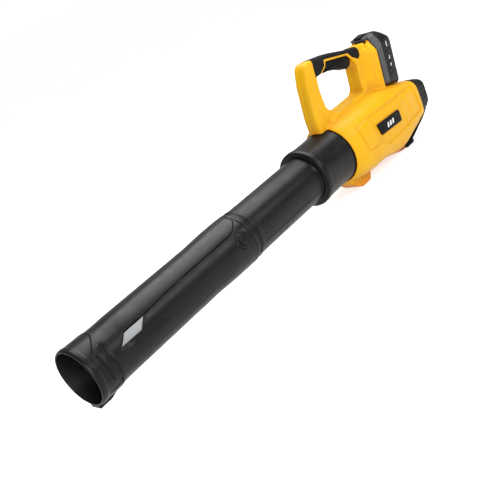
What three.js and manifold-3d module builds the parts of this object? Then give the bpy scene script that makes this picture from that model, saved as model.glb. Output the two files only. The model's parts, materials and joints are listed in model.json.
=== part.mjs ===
// Cordless axial leaf blower: two tubes, a clamshell body with a closed handle, and a slide battery.
// Millimetres. The nozzle points to -X, the user's left side is -Y, and +Z is up.
// Shapes are drawn in the duct's frame: x = 0 at the joint of the two tubes, z = 0 on the duct's axis.
// One outer group then moves everything so that the origin is at the middle of the footprint.
import * as THREE from "three";
import { ConvexGeometry } from "three/addons/geometries/ConvexGeometry.js";
import { mergeVertices } from "three/addons/utils/BufferGeometryUtils.js";
import Module from "manifold-3d";

const wasm = await Module();
wasm.setup();

// ---- driving dimensions ----
const TUBE_R = 45.4; // outside radius of both tubes
const TUBE_WALL = 2.2;
const NOZZLE_LENGTH = 370;
const SOCKET_R = 47.6; // the nozzle's thicker rear end
const SPIGOT_LENGTH = 58; // the part of the upper tube inside the nozzle
const COLLAR_X = 203; // front rim of the black collar
const COLLAR_R = 56.2;
const BODY_X = 293; // front edge of the clamshell
const BODY_HALF_WIDTH = 67;
const CUT_X = 549; // rear edge of the clamshell's sides
const REAR_X = 587; // rear plate of the intake grille
const GROUND_Z = -87;
const WALL = 2.8;
const GAP = 0.35; // clearance between neighbouring pieces
const HANDLE_HALF_WIDTH = 16;
const FLANGE_HALF_WIDTH = 34.5; // the battery's seat
const DUCT_R = 51; // inside radius of the fan duct
const POD_R = 27; // motor pod in the middle of the duct
const BATTERY_LEAN = THREE.MathUtils.degToRad(10.5);
const BATTERY_SEAT = [486, 57]; // x and z of the seat's lower end
const BATTERY = { height: 104, depth: 48, halfWidth: 37.5 };
const TRIGGER_PIVOT = [439, 142.5];
const LATCH_X = -28; // the tube button, along the duct
const LATCH_TURN = THREE.MathUtils.degToRad(16); // how far the button sits above the middle of the left side
const BUTTON_R = 8.6;
const BUTTON_TRAVEL = 1.6;
const ROUND = 36; // segments of a large circle
const SMALL_ROUND = 16;
const FAR = 400; // half size of the blocks that cut a piece in two

// ---- geometry helpers ----
function solid(geometry) {
  const bare = new THREE.BufferGeometry();
  bare.setAttribute("position", geometry.getAttribute("position"));
  bare.setIndex(geometry.index);
  const merged = mergeVertices(bare, 1e-3);
  const corners = merged.index.array;
  const faces = [];
  for (let i = 0; i < corners.length; i += 3) {
    const [a, b, c] = corners.slice(i, i + 3);
    if (a !== b && b !== c && c !== a) faces.push(a, b, c);
  }
  const build = (triVerts) =>
    new wasm.Manifold(
      new wasm.Mesh({
        numProp: 3,
        vertProperties: merged.attributes.position.array,
        triVerts: new Uint32Array(triVerts),
      }),
    );
  const made = build(faces);
  return made.volume() < 0 ? build(faces.reverse()) : made;
}

function meshOf(name, body, material) {
  const { numProp, vertProperties, triVerts } = body.getMesh();
  const count = vertProperties.length / numProp;
  const positions = new Float32Array(count * 3);
  for (let i = 0; i < count; i++) {
    positions.set(vertProperties.subarray(i * numProp, i * numProp + 3), i * 3);
  }
  const geometry = new THREE.BufferGeometry();
  geometry.setAttribute("position", new THREE.BufferAttribute(positions, 3));
  geometry.setIndex(new THREE.BufferAttribute(new Uint32Array(triVerts), 1));
  geometry.computeVertexNormals();
  const mesh = new THREE.Mesh(geometry, material);
  mesh.name = name;
  return mesh;
}

// A solid turned about the duct's axis from a closed outline of [x, radius] points.
function turned(outline, segments = ROUND) {
  const points = outline.map(([x, r]) => new THREE.Vector2(r, x));
  if (outline[0][1] !== 0) points.push(points[0].clone());
  return solid(new THREE.LatheGeometry(points, segments).rotateZ(-Math.PI / 2));
}

function tubeRing(x0, x1, outer, inner, segments = ROUND) {
  const outline = [
    [x0, inner],
    [x0, outer],
    [x1, outer],
    [x1, inner],
  ];
  return turned(outline, segments);
}

function disc(x0, x1, r, segments = SMALL_ROUND) {
  const outline = [
    [x0, 0],
    [x0, r],
    [x1, r],
    [x1, 0],
  ];
  return turned(outline, segments);
}

function block([x0, x1], [y0, y1], [z0, z1]) {
  const box = new THREE.BoxGeometry(x1 - x0, y1 - y0, z1 - z0);
  return solid(box.translate((x0 + x1) / 2, (y0 + y1) / 2, (z0 + z1) / 2));
}

// Corner points [x, z, radius] become an outline whose corners are arcs of that radius.
function rounded(corners, steps = 4) {
  const points = [];
  corners.forEach(([x, z, radius = 0], i) => {
    const here = new THREE.Vector2(x, z);
    if (!radius) {
      points.push(here);
      return;
    }
    const before = new THREE.Vector2(...corners.at(i - 1).slice(0, 2));
    const after = new THREE.Vector2(...corners[(i + 1) % corners.length].slice(0, 2));
    const toBefore = before.sub(here).normalize();
    const toAfter = after.sub(here).normalize();
    const half = toBefore.angleTo(toAfter) / 2;
    const middle = toBefore.clone().add(toAfter).normalize();
    const centre = here.clone().addScaledVector(middle, radius / Math.sin(half));
    const start = here.clone().addScaledVector(toBefore, radius / Math.tan(half));
    const sweep = (2 * half - Math.PI) * Math.sign(toBefore.cross(toAfter));
    for (let s = 0; s <= steps; s++) {
      points.push(start.clone().rotateAround(centre, (sweep * s) / steps));
    }
  });
  return points;
}

// A plate in the XZ plane, from y0 to y1, with rounded edges of the given size.
function plate(corners, [y0, y1], { edge = 0, steps = 3 } = {}) {
  const shape = new THREE.Shape(rounded(corners, steps));
  const geometry = new THREE.ExtrudeGeometry(shape, {
    depth: y1 - y0 - 2 * edge,
    bevelEnabled: edge > 0,
    bevelSize: edge,
    bevelOffset: -edge,
    bevelThickness: edge,
    bevelSegments: 2,
  });
  return solid(geometry.translate(0, 0, edge - y1).rotateX(Math.PI / 2));
}

// The main piece of a cut, without the slivers that a cut can leave.
function largest(body) {
  return body.decompose().reduce((a, b) => (a.volume() > b.volume() ? a : b));
}

function placed(body, matrix) {
  return body.transform([...matrix.elements]);
}

// A cross-section of the clamshell: half width, top, bottom and squareness of a superellipse.
function sectionPoint({ x, half, top, bottom, square }, angle, inset) {
  const c = Math.cos(angle);
  const s = Math.sin(angle);
  const power = 2 / square;
  const height = s > 0 ? top - inset : -bottom - inset;
  return [
    x,
    Math.sign(c) * Math.abs(c) ** power * (half - inset),
    Math.sign(s) * Math.abs(s) ** power * height,
  ];
}

function loft(sections, inset = 0, around = 32) {
  const positions = [];
  sections.forEach((section) => {
    for (let i = 0; i < around; i++) {
      positions.push(...sectionPoint(section, (i * 2 * Math.PI) / around, inset));
    }
  });
  const first = sections[0];
  const last = sections.at(-1);
  positions.push(first.x, 0, 0, last.x, 0, 0);
  const frontHub = sections.length * around;
  const index = [];
  for (let i = 0; i < around; i++) {
    const next = (i + 1) % around;
    for (let ring = 0; ring < sections.length - 1; ring++) {
      const a = ring * around;
      const b = a + around;
      index.push(a + i, b + i, a + next, a + next, b + i, b + next);
    }
    const end = (sections.length - 1) * around;
    index.push(frontHub, i, next);
    index.push(frontHub + 1, end + next, end + i);
  }
  const geometry = new THREE.BufferGeometry();
  geometry.setAttribute("position", new THREE.Float32BufferAttribute(positions, 3));
  geometry.setIndex(index);
  return solid(geometry);
}

function rod(points, radius, sides, steps) {
  const curve = new THREE.CatmullRomCurve3(points.map((p) => new THREE.Vector3(...p)));
  return rodAlong(curve, radius, sides, steps);
}

function rodAlong(curve, radius, sides, steps) {
  const ring = new THREE.Shape();
  for (let i = 0; i < sides; i++) {
    const angle = (i * 2 * Math.PI) / sides;
    ring[i ? "lineTo" : "moveTo"](radius * Math.cos(angle), radius * Math.sin(angle));
  }
  return solid(new THREE.ExtrudeGeometry(ring, { steps, extrudePath: curve }));
}

class Helix extends THREE.Curve {
  constructor(radius, length, turns) {
    super();
    Object.assign(this, { radius, length, turns });
  }

  getPoint(t, target = new THREE.Vector3()) {
    const angle = t * this.turns * 2 * Math.PI;
    return target.set(this.radius * Math.cos(angle), this.radius * Math.sin(angle), t * this.length);
  }
}

const leftBlock = block([-2 * FAR, 2 * FAR], [-FAR, -GAP / 2], [-FAR, FAR]);
const rightBlock = block([-2 * FAR, 2 * FAR], [GAP / 2, FAR], [-FAR, FAR]);

// ---- materials ----
const plastic = (color, roughness) => new THREE.MeshStandardMaterial({ color, roughness, metalness: 0 });
const metal = (color, roughness) => new THREE.MeshStandardMaterial({ color, roughness, metalness: 1 });
const yellow = plastic(0xf5b01e, 0.45);
const black = plastic(0x1b1b1c, 0.4);
const rubber = plastic(0x202021, 0.8);
const greyInlay = plastic(0xb9bcc0, 0.4);
const darkGrey = plastic(0x3a3b3d, 0.6);
const steel = metal(0x9aa0a6, 0.35);
const copper = metal(0xb8732e, 0.35);
const aluminium = metal(0xb4b7ba, 0.45);
const boardGreen = plastic(0x1f5a35, 0.5);
const cellBlue = plastic(0x3d6fa5, 0.4);
const redWire = plastic(0xa8201c, 0.5);
const blackWire = plastic(0x141414, 0.5);

const root = new THREE.Group();
const blower = new THREE.Group();
blower.position.set(-(REAR_X - NOZZLE_LENGTH) / 2, 0, -GROUND_Z);
root.add(blower);
const add = (name, body, material, parent = blower) => parent.add(meshOf(name, body, material));

// ---- tubes ----
const SPIGOT_R = TUBE_R - 1.2;
const BORE_R = TUBE_R - TUBE_WALL;
const latchFrame = new THREE.Matrix4()
  .makeRotationX(-LATCH_TURN)
  .multiply(new THREE.Matrix4().makeTranslation(LATCH_X, 0, 0))
  .multiply(new THREE.Matrix4().makeRotationZ(-Math.PI / 2));

function makeNozzle() {
  const mouth = -NOZZLE_LENGTH;
  const lip = TUBE_R + 2.6;
  const socketBore = SPIGOT_R + GAP;
  const shell = turned([
    [mouth, lip - 3.2],
    [mouth, lip - 0.8],
    [mouth + 2, lip],
    [mouth + 16, lip],
    [mouth + 20, lip - 1],
    [mouth + 70, TUBE_R + 0.3],
    [mouth + 270, TUBE_R],
    [-72, TUBE_R + 1],
    [-55, SOCKET_R - 0.3],
    [0, SOCKET_R],
    [0, socketBore],
    [-SPIGOT_LENGTH - 2, socketBore],
    [-SPIGOT_LENGTH - 4, BORE_R],
    [mouth + 70, BORE_R],
  ]);
  const skid = plate(
    [
      [mouth + 1, -lip - 3, 1.5],
      [mouth + 22, -lip - 3, 3],
      [mouth + 40, -TUBE_R - 0.4],
      [mouth + 1, -TUBE_R - 0.4],
    ],
    [-9, 9],
    { steps: 3 },
  );
  const boss = placed(disc(SOCKET_R - 1.5, SOCKET_R + 1, 13, 24), latchFrame);
  const hole = placed(disc(30, 60, BUTTON_R + GAP, 24), latchFrame);
  return shell.add(skid).add(boss).subtract(hole);
}

function makeUpperTube() {
  const tail = COLLAR_X + 30;
  const shell = turned([
    [-SPIGOT_LENGTH, BORE_R - 1],
    [-SPIGOT_LENGTH, SPIGOT_R - 0.6],
    [-SPIGOT_LENGTH + 3, SPIGOT_R],
    [GAP, SPIGOT_R],
    [GAP, TUBE_R + 0.2],
    [7, TUBE_R + 0.2],
    [9, TUBE_R + 0.9],
    [13, TUBE_R + 0.9],
    [15, TUBE_R],
    [tail, TUBE_R],
    [tail, BORE_R],
    [4, BORE_R],
    [-2, BORE_R - 1],
  ]);
  const slotLength = SPIGOT_LENGTH + LATCH_X + 6;
  const slot = block([-5, 5], [-slotLength, 5], [30, 60]);
  const slotFrame = latchFrame.clone().multiply(new THREE.Matrix4().makeRotationY(Math.PI / 2));
  return shell.subtract(placed(slot, slotFrame));
}

function makeNozzleButton() {
  const cap = disc(SPIGOT_R + GAP + BUTTON_TRAVEL, SOCKET_R + 0.6, BUTTON_R, 24);
  const stem = disc(BORE_R - 5, SPIGOT_R + BUTTON_TRAVEL + 2, 3.6, 12);
  return placed(cap.add(stem), latchFrame);
}

// A slanted inlay that follows the tube's side; its inner face clears the tube by the usual gap.
function makeInlay(side) {
  const outline = [
    [-313, 10, 1],
    [-274, 10, 1],
    [-249, 29, 1],
    [-287, 29, 1],
  ];
  const slab = plate(outline, side < 0 ? [-60, -20] : [20, 60], { steps: 2 });
  const skin = tubeRing(-330, -230, TUBE_R + 1.9, TUBE_R + 0.9);
  return slab.intersect(skin);
}

function makeCollar() {
  const rear = BODY_X + 22;
  const bore = TUBE_R + GAP;
  return turned([
    [COLLAR_X - 4, bore],
    [COLLAR_X - 3, COLLAR_R - 3],
    [COLLAR_X, COLLAR_R],
    [COLLAR_X + 14, COLLAR_R],
    [COLLAR_X + 46, COLLAR_R - 1.4],
    [BODY_X, COLLAR_R - 0.8],
    [BODY_X + 6, COLLAR_R - 0.8],
    [BODY_X + 6, COLLAR_R + 0.6],
    [BODY_X + 12, COLLAR_R + 0.6],
    [BODY_X + 12, COLLAR_R - 0.8],
    [rear, COLLAR_R - 2.6],
    [rear, DUCT_R],
    [COLLAR_X + 31, bore],
  ]);
}

add("nozzle_tube", makeNozzle(), black);
add("nozzle_button", makeNozzleButton(), darkGrey);
add("nozzle_inlay_left", makeInlay(-1), greyInlay);
add("nozzle_inlay_right", makeInlay(1), greyInlay);
add("upper_tube", makeUpperTube(), black);
add("outlet_collar", makeCollar(), black);

// ---- clamshell outlines ----
const SECTIONS = [
  { x: BODY_X, half: 58.6, top: 58.6, bottom: -58.6, square: 2 },
  { x: BODY_X + 7, half: 61.8, top: 60.6, bottom: -61.4, square: 2.1 },
  { x: BODY_X + 21, half: 65, top: 61.4, bottom: -64.4, square: 2.35 },
  { x: 345, half: BODY_HALF_WIDTH, top: 61.8, bottom: -66.6, square: 2.7 },
  { x: 400, half: BODY_HALF_WIDTH, top: 61.8, bottom: -68.6, square: 2.9 },
  { x: 430, half: 66.8, top: 61.2, bottom: -75, square: 2.9 },
  { x: 460, half: 66, top: 58.4, bottom: -83, square: 2.8 },
  { x: 478, half: 65, top: 55.2, bottom: -86.4, square: 2.8 },
  { x: 500, half: 63, top: 50, bottom: -78.6, square: 3 },
  { x: 524, half: 60.2, top: 43, bottom: -68.4, square: 3.4 },
  { x: CUT_X, half: 57, top: 35.6, bottom: -58, square: 4 },
  { x: REAR_X, half: 50, top: 23.4, bottom: -42, square: 4 },
];

// The inner surface stops one wall short of the grille's rear plate.
const INNER_SECTIONS = SECTIONS.map((s, i) => ({
  ...s,
  x: i === 0 ? s.x - 1 : s.x - (i === SECTIONS.length - 1 ? WALL : 0),
}));

const HANDLE = [
  [274, 48],
  [276, 84, 30],
  [290, 146, 30],
  [306, 183.5, 18],
  [380, 171, 60],
  [446, 152.5, 20],
  [497, 150, 14],
  [483, 48],
];

const HAND_HOLE = [
  [323, 147.5, 3],
  [317, 121, 20],
  [316.5, 88, 14],
  [340, 66, 12],
  [434, 66, 5],
  [447, 118, 3],
  [440.5, 136, 5],
  [431, 147.5, 4],
  [361.5, 162.5, 4],
  [357.5, 153, 3],
  [341, 146.5, 4],
];

const FOOT = [
  [296, -50],
  [298, -64, 8],
  [314, -79, 10],
  [331, GROUND_Z, 7],
  [357, GROUND_Z, 6],
  [370, -66, 8],
  [380, -55],
];

// What the rubber grip covers, seen from the side.
const GRIP = [
  [330, 192],
  [323, 168],
  [316, 148.5],
  [315, 144],
  [330, 144],
  [343, 148.6, 2],
  [356, 155, 3],
  [359.5, 165.5, 3],
  [433, 149, 4],
  [443, 139, 5],
  [452, 124, 6],
  [463, 131, 8],
  [463, 143, 8],
  [452, 150, 6],
  [448, 192],
];

// Behind and below this line the shell belongs to the intake grille.
const GRILLE_ZONE = [
  [CUT_X, 80],
  [CUT_X - 1, -38],
  [500, -62],
  [480, GROUND_Z - 1],
  [480, -120],
  [660, -120],
  [660, 80],
];

// ---- battery seat frame: its X points out of the seat, its Z up along the rails ----
const seatFrame = new THREE.Matrix4()
  .makeTranslation(BATTERY_SEAT[0], 0, BATTERY_SEAT[1])
  .multiply(new THREE.Matrix4().makeRotationY(BATTERY_LEAN));
const RAIL_DEPTH = 12.4;
const LIP_DEPTH = 3.6;
const RAIL_HALF_WIDTH = 18;
const NECK_HALF_WIDTH = 13;
const SEAT_TOP = 92.5;
const SEAT_TOP_HALF = 17;
const SEAT_SHOULDER = 69; // where the seat starts to narrow
const FLANGE_CREASE = 8;
const BLADE_Y = 8;

// A convex body through rings of corners; the rings are mirrored to the other side.
function hull(corners) {
  const points = corners.flatMap(([x, y, z]) => [new THREE.Vector3(x, y, z), new THREE.Vector3(x, -y, z)]);
  return solid(new ConvexGeometry(points));
}

// The post widens towards the seat, whose upper corners are cut off at a slant.
function makeFlange() {
  const rim = [-FLANGE_CREASE, -GAP].flatMap((w) => [
    [w, FLANGE_HALF_WIDTH, -14],
    [w, FLANGE_HALF_WIDTH, SEAT_SHOULDER],
    [w, SEAT_TOP_HALF, SEAT_TOP],
  ]);
  const front = [
    [-44, HANDLE_HALF_WIDTH - 4, -14],
    [-40, HANDLE_HALF_WIDTH - 7, SEAT_TOP - 8],
  ];
  return hull([...rim, ...front]);
}

function makeRailSlot() {
  const clear = GAP + 0.15;
  const inner = block(
    [-RAIL_DEPTH - 0.8, -LIP_DEPTH + GAP],
    [-RAIL_HALF_WIDTH - clear, RAIL_HALF_WIDTH + clear],
    [3, SEAT_TOP + 20],
  );
  const neckHalf = NECK_HALF_WIDTH + clear;
  const mouth = block([-LIP_DEPTH, 20], [-neckHalf, neckHalf], [3, SEAT_TOP + 20]);
  return inner.add(mouth);
}

// ---- fasteners ----
const SCREWS = [
  [301, 78],
  [305, 140],
  [457, 80],
  [334, -73],
  [444, -70],
];
const SCREW_LENGTH = 24;
const SCREW_HEAD_Y = 12;
const SCREW_HEAD_HEIGHT = 2.6;
const SCREW_HEAD_R = 3.4;
const SCREW_R = 1.7;
const BOSS_R = 5.2;

function across(x, z, y0, y1, r, segments = 16) {
  const pin = disc(y0, y1, r, segments);
  const turn = new THREE.Matrix4().makeRotationZ(Math.PI / 2).setPosition(x, 0, z);
  return placed(pin, turn);
}

function makeScrew([x, z]) {
  const head = across(x, z, SCREW_HEAD_Y - SCREW_HEAD_HEIGHT, SCREW_HEAD_Y, SCREW_HEAD_R, 12);
  const shank = across(x, z, SCREW_HEAD_Y - SCREW_LENGTH, SCREW_HEAD_Y - 2, SCREW_R, 10);
  return head.add(shank);
}

// ---- clamshell ----
const outerBody = loft(SECTIONS);
const innerBody = loft(INNER_SECTIONS, WALL);
const handleSpan = [-HANDLE_HALF_WIDTH, HANDLE_HALF_WIDTH];
const handHole = plate(HAND_HOLE, [-FAR, FAR]);
const gripSkin = plate(HANDLE, handleSpan, { edge: 7 }).subtract(handHole);

function shrink(corners, distance) {
  const points = corners.map(([x, z]) => new THREE.Vector2(x, z));
  const turn = THREE.ShapeUtils.isClockWise(points) ? -1 : 1;
  const normals = points.map((p, i) => {
    const edge = points[(i + 1) % points.length].clone().sub(p).normalize();
    return new THREE.Vector2(-edge.y, edge.x).multiplyScalar(turn);
  });
  return corners.map(([, , radius = 0], i) => {
    const a = normals.at(i - 1);
    const b = normals[i];
    const miter = a.clone().add(b).divideScalar(1 + a.dot(b));
    const moved = points[i].clone().addScaledVector(miter, distance);
    return [moved.x, moved.y, Math.max(0, radius - 1)];
  });
}

function makeShell() {
  const flange = placed(makeFlange(), seatFrame);
  const foot = plate(FOOT, [-19, 19], { edge: 2.5 });
  const above = block([BODY_X - 30, REAR_X + 20], [-FAR, FAR], [GROUND_Z, FAR]);
  let shell = outerBody.intersect(above).add(gripSkin).add(flange).add(foot);

  const handleCore = plate(shrink(HANDLE, WALL + 1.4), [3 - HANDLE_HALF_WIDTH, HANDLE_HALF_WIDTH - 3], {
    edge: 4,
  }).subtract(plate(shrink(HAND_HOLE, -WALL), [-FAR, FAR]));
  const seatWall = placed(makeSeatWall(), seatFrame);
  shell = shell.subtract(innerBody).subtract(handleCore.subtract(seatWall));
  shell = shell.subtract(tubeRing(BODY_X - 40, BODY_X, COLLAR_R + GAP, 0.1));
  shell = shell.subtract(tubeRing(BODY_X - 1, BODY_X + 14, COLLAR_R + 1, 0.1));
  shell = shell.subtract(plate(GRILLE_ZONE, [-FAR, FAR]));
  shell = seatSlits(shell.subtract(placed(makeRailSlot(), seatFrame)));
  const pinHole = across(...TRIGGER_PIVOT, -13.9, 13.9, 2 + GAP, 12);
  return shell.subtract(makeTriggerSlot()).subtract(pinHole);
}

// The wall between the rail slot and the inside of the post.
function makeSeatWall() {
  return block([-19, 0], [-FLANGE_HALF_WIDTH, FLANGE_HALF_WIDTH], [-16, SEAT_TOP + 6]);
}

function makeTriggerSlot() {
  const [px, pz] = TRIGGER_PIVOT;
  const slot = plate(
    [
      [341, 138],
      [342, 160.6],
      [358, 170],
      [px - 8, pz + 9.6],
      [px + 1, pz + 4],
      [px + 4, pz - 8],
      [px + 3, 130],
      [px, 120],
    ],
    [-12.8, 12.8],
  );
  const armSlot = block([px - 10, px + 20], [-6.4, 6.4], [pz - 16, pz + 4]);
  return slot.add(armSlot);
}

function gripZone(extra) {
  return plate(shrink(GRIP, -extra), [-40, 40], { steps: 3 });
}

function substrate(extra) {
  const span = HANDLE_HALF_WIDTH - 1.8 + extra;
  return plate(shrink(HANDLE, 1.8 - extra), [-span, span], { edge: 6 });
}

// The grip is a rubber skin let into the handle.
const gripBody = gripSkin.subtract(substrate(0)).intersect(gripZone(0));

function makeHousing(half) {
  const pocket = gripZone(GAP).subtract(substrate(-GAP));
  let shell = makeShell().subtract(pocket);
  SCREWS.forEach(([x, z]) => {
    const boss = across(x, z, -FAR, FAR, BOSS_R);
    const keep = outerBody.add(gripSkin).add(plate(FOOT, [-19, 19], { edge: 2.5 }));
    shell = shell.add(boss.intersect(keep));
  });
  SCREWS.forEach(([x, z]) => {
    shell = shell.subtract(across(x, z, SCREW_HEAD_Y - SCREW_LENGTH - 1, 30, SCREW_R + GAP, 10));
    shell = shell.subtract(across(x, z, SCREW_HEAD_Y - SCREW_HEAD_HEIGHT - GAP, 30, SCREW_HEAD_R + GAP, 12));
  });
  return largest(shell.intersect(half));
}

add("housing_left", makeHousing(leftBlock), yellow);
add("housing_right", makeHousing(rightBlock), yellow);
add("grip_left", gripBody.intersect(leftBlock), rubber);
add("grip_right", gripBody.intersect(rightBlock), rubber);
SCREWS.forEach((place, i) => add(`housing_screw_${i + 1}`, makeScrew(place), steel));

// ---- intake grille ----
const SLOT_PITCH = 9.4;
const SLOT_HALF_WIDTH = 2.6;
const REAR_SLOT_Z = [-34, 16];
const SKID = { x: [488, 517], halfWidth: 30, height: 11 };
// The see-through part under the rear plate, seen from the side.
const LOWER_SLOT = [
  [524, -80],
  [585, -55],
  [580, -34],
  [519, -63],
];

function makeGrille() {
  const zone = plate(shrink(GRILLE_ZONE, GAP), [-FAR, FAR]);
  const above = block([BODY_X, REAR_X + 20], [-FAR, FAR], [GROUND_Z, FAR]);
  const skid = block(SKID.x, [-SKID.halfWidth, SKID.halfWidth], [GROUND_Z, GROUND_Z + SKID.height]);
  let grille = outerBody.add(skid).intersect(above).intersect(zone).subtract(innerBody);
  for (let row = -4; row <= 4; row++) {
    const y = row * SLOT_PITCH;
    const span = [y - SLOT_HALF_WIDTH, y + SLOT_HALF_WIDTH];
    grille = grille.subtract(block([REAR_X - 6, REAR_X + 6], span, REAR_SLOT_Z));
    grille = grille.subtract(plate(LOWER_SLOT, span));
  }
  return largest(grille);
}

// ---- fan, motor and duct ----
const STATOR_X = 352;
const STATOR_LENGTH = 52;
const FAN_X = 420;
const BELL_X = 460;
const POD_ROUND = 24;
const POD_WALL = 2.4;
const VANES = 7;
const BLADES = 9;
const SHAFT_R = 2.5;
const BEARING_R = 8;
const MOTOR_LEAD_X = 377;
const MOTOR_LEAD_Y = 5;
const LEAD_R = 1.7;

function radialVane(x0, x1, thickness, r0, r1, angle, pitch = 0) {
  const vane = block([-(x1 - x0) / 2, (x1 - x0) / 2], [-thickness / 2, thickness / 2], [r0, r1]);
  const place = new THREE.Matrix4()
    .makeRotationX(angle)
    .multiply(new THREE.Matrix4().makeTranslation((x0 + x1) / 2, 0, 0))
    .multiply(new THREE.Matrix4().makeRotationZ(pitch));
  return placed(vane, place);
}

function makeFanDuct() {
  const front = BODY_X + 24;
  let duct = turned([
    [front, DUCT_R],
    [front, DUCT_R + 3],
    [345, DUCT_R + 3],
    [345, DUCT_R + 6.4],
    [348, DUCT_R + 6.4],
    [348, DUCT_R + 3],
    [430, DUCT_R + 3],
    [430, DUCT_R + 5.6],
    [433, DUCT_R + 5.6],
    [433, DUCT_R + 3],
    [BELL_X - 12, DUCT_R + 3],
    [BELL_X, DUCT_R + 3],
    [BELL_X, DUCT_R + 1.4],
    [BELL_X - 14, DUCT_R],
  ]);
  const pod = tubeRing(STATOR_X - 6, STATOR_X + 63, POD_R, POD_R - POD_WALL, POD_ROUND);
  for (let i = 0; i < VANES; i++) {
    const angle = ((i + 0.5) * 2 * Math.PI) / VANES;
    duct = duct.add(radialVane(STATOR_X, STATOR_X + STATOR_LENGTH, 1.8, POD_R - 1, DUCT_R + 1, angle));
  }
  const leadHole = block(
    [MOTOR_LEAD_X - 5, MOTOR_LEAD_X + 8],
    [MOTOR_LEAD_Y - 2.6, MOTOR_LEAD_Y + 2.6],
    [-DUCT_R - 6, -20],
  );
  return duct.add(pod).subtract(leadHole);
}

function makeHubCone() {
  const base = STATOR_X - 6 - GAP;
  return turned(
    [
      [base - 46, 0],
      [base - 44, 5],
      [base - 34, 14],
      [base - 18, 22],
      [base, POD_R],
      [base, POD_R - POD_WALL],
      [base - 18, 19.6],
      [base - 34, 11.6],
      [base - 42, 0],
    ],
    POD_ROUND,
  );
}

function makeMotorCap() {
  const x = STATOR_X + 58;
  const plateRing = tubeRing(x, x + 3, POD_R - POD_WALL - GAP, BEARING_R + GAP, POD_ROUND);
  const seat = tubeRing(x - 6, x + 1, BEARING_R + 2.5, BEARING_R + GAP, POD_ROUND);
  return plateRing.add(seat);
}

function makeBearing(x) {
  return tubeRing(x, x + 5, BEARING_R, SHAFT_R + GAP, POD_ROUND);
}

function makeStator() {
  let core = tubeRing(STATOR_X + 6, STATOR_X + 44, POD_R - POD_WALL - GAP, 18.6, POD_ROUND);
  for (let i = 0; i < 9; i++) {
    const angle = (i * 2 * Math.PI) / 9;
    core = core.add(radialVane(STATOR_X + 8, STATOR_X + 42, 5, 12.6, 20, angle));
  }
  return core;
}

function makeRotor() {
  return tubeRing(STATOR_X + 8, STATOR_X + 42, 11.8, SHAFT_R + GAP, POD_ROUND);
}

function makeFrontPlate() {
  const x = STATOR_X - 3;
  const disk = tubeRing(x, x + 3, POD_R - POD_WALL - GAP, BEARING_R + GAP, POD_ROUND);
  return disk.add(tubeRing(x, x + 6, BEARING_R + 2.5, BEARING_R + GAP, POD_ROUND));
}

function makeImpeller() {
  const bore = SHAFT_R + GAP;
  let fan = turned(
    [
      [FAN_X, bore],
      [FAN_X, 24],
      [FAN_X + 3, POD_R - 1],
      [FAN_X + 26, POD_R - 1],
      [FAN_X + 34, POD_R - 6],
      [FAN_X + 38, 12],
      [FAN_X + 38, 7],
      [FAN_X + 30, 7],
      [FAN_X + 30, bore],
    ],
    POD_ROUND,
  );
  for (let i = 0; i < BLADES; i++) {
    const angle = (i * 2 * Math.PI) / BLADES;
    const middle = FAN_X + 15;
    const pitch = THREE.MathUtils.degToRad(38);
    fan = fan.add(radialVane(middle - 14, middle + 14, 2.2, POD_R - 4, DUCT_R - 1.2, angle, pitch));
  }
  return fan.intersect(disc(FAN_X - 20, FAN_X + 60, DUCT_R - 1.2, ROUND));
}

add("intake_grille", makeGrille(), black);
add("fan_duct", makeFanDuct(), darkGrey);
add("hub_cone", makeHubCone(), darkGrey);
add("motor_front_plate", makeFrontPlate(), aluminium);
add("motor_end_cap", makeMotorCap(), aluminium);
add("motor_stator", makeStator(), copper);
add("motor_rotor", makeRotor(), steel);
add("motor_shaft", disc(STATOR_X - 2, FAN_X + 36, SHAFT_R, 16), steel);
add("front_bearing", makeBearing(STATOR_X - 2), steel);
add("rear_bearing", makeBearing(STATOR_X + 52.5), steel);
add("fan_impeller", makeImpeller(), black);
add("fan_nut", tubeRing(FAN_X + 30 + GAP, FAN_X + 35, 5, SHAFT_R + 1, 6), steel);

// ---- trigger and switch ----
function makeTrigger() {
  const [px, pz] = TRIGGER_PIVOT;
  const lever = plate(
    [
      [344.5, 145, 1.5],
      [372, 140.6, 30],
      [404, 130, 30],
      [421, 122, 6],
      [435, 126, 6],
      [435, 137, 4],
      [427, 147.4, 3],
      [361.5, 162.6, 3],
      [356, 154.5, 2],
    ],
    [-12, 12],
    { steps: 3 },
  );
  const lug = plate(
    [
      [412, 130],
      [px, pz - 8, 5],
      [px + 24, pz - 11, 2],
      [px + 24, pz - 6, 2],
      [px + 6, pz + 2, 4],
      [px - 3, pz + 6, 4],
      [412, 150],
    ],
    [-6, 6],
    { steps: 3 },
  );
  const springRoom = across(px, pz, 6, 20, 6.4);
  const hole = across(px, pz, -20, 20, 2 + GAP);
  return lever.subtract(springRoom).add(lug).subtract(hole);
}

function makeSpring(radius, wire, length, turns) {
  return rodAlong(new Helix(radius, length, turns), wire, 5, turns * 9);
}

function makeTriggerSpring() {
  const [px, pz] = TRIGGER_PIVOT;
  const place = new THREE.Matrix4().makeRotationX(Math.PI / 2).setPosition(px, 11, pz);
  return placed(makeSpring(3.6, 0.6, 3.6, 3), place);
}

add("trigger", makeTrigger(), black);
add("trigger_pin", across(...TRIGGER_PIVOT, -13.7, 13.7, 2, 12), steel);
add("trigger_spring", makeTriggerSpring(), steel);
const switchX = TRIGGER_PIVOT[0] + 16;
const switchTop = TRIGGER_PIVOT[1] - 14.6;
const switchBody = block([switchX, switchX + 20], [-8, 8], [switchTop - 20, switchTop - 2]);
const plunger = block([switchX + 4, switchX + 10], [-2.5, 2.5], [switchTop - 3, switchTop]);
add("trigger_switch", switchBody.add(plunger), darkGrey);

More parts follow.
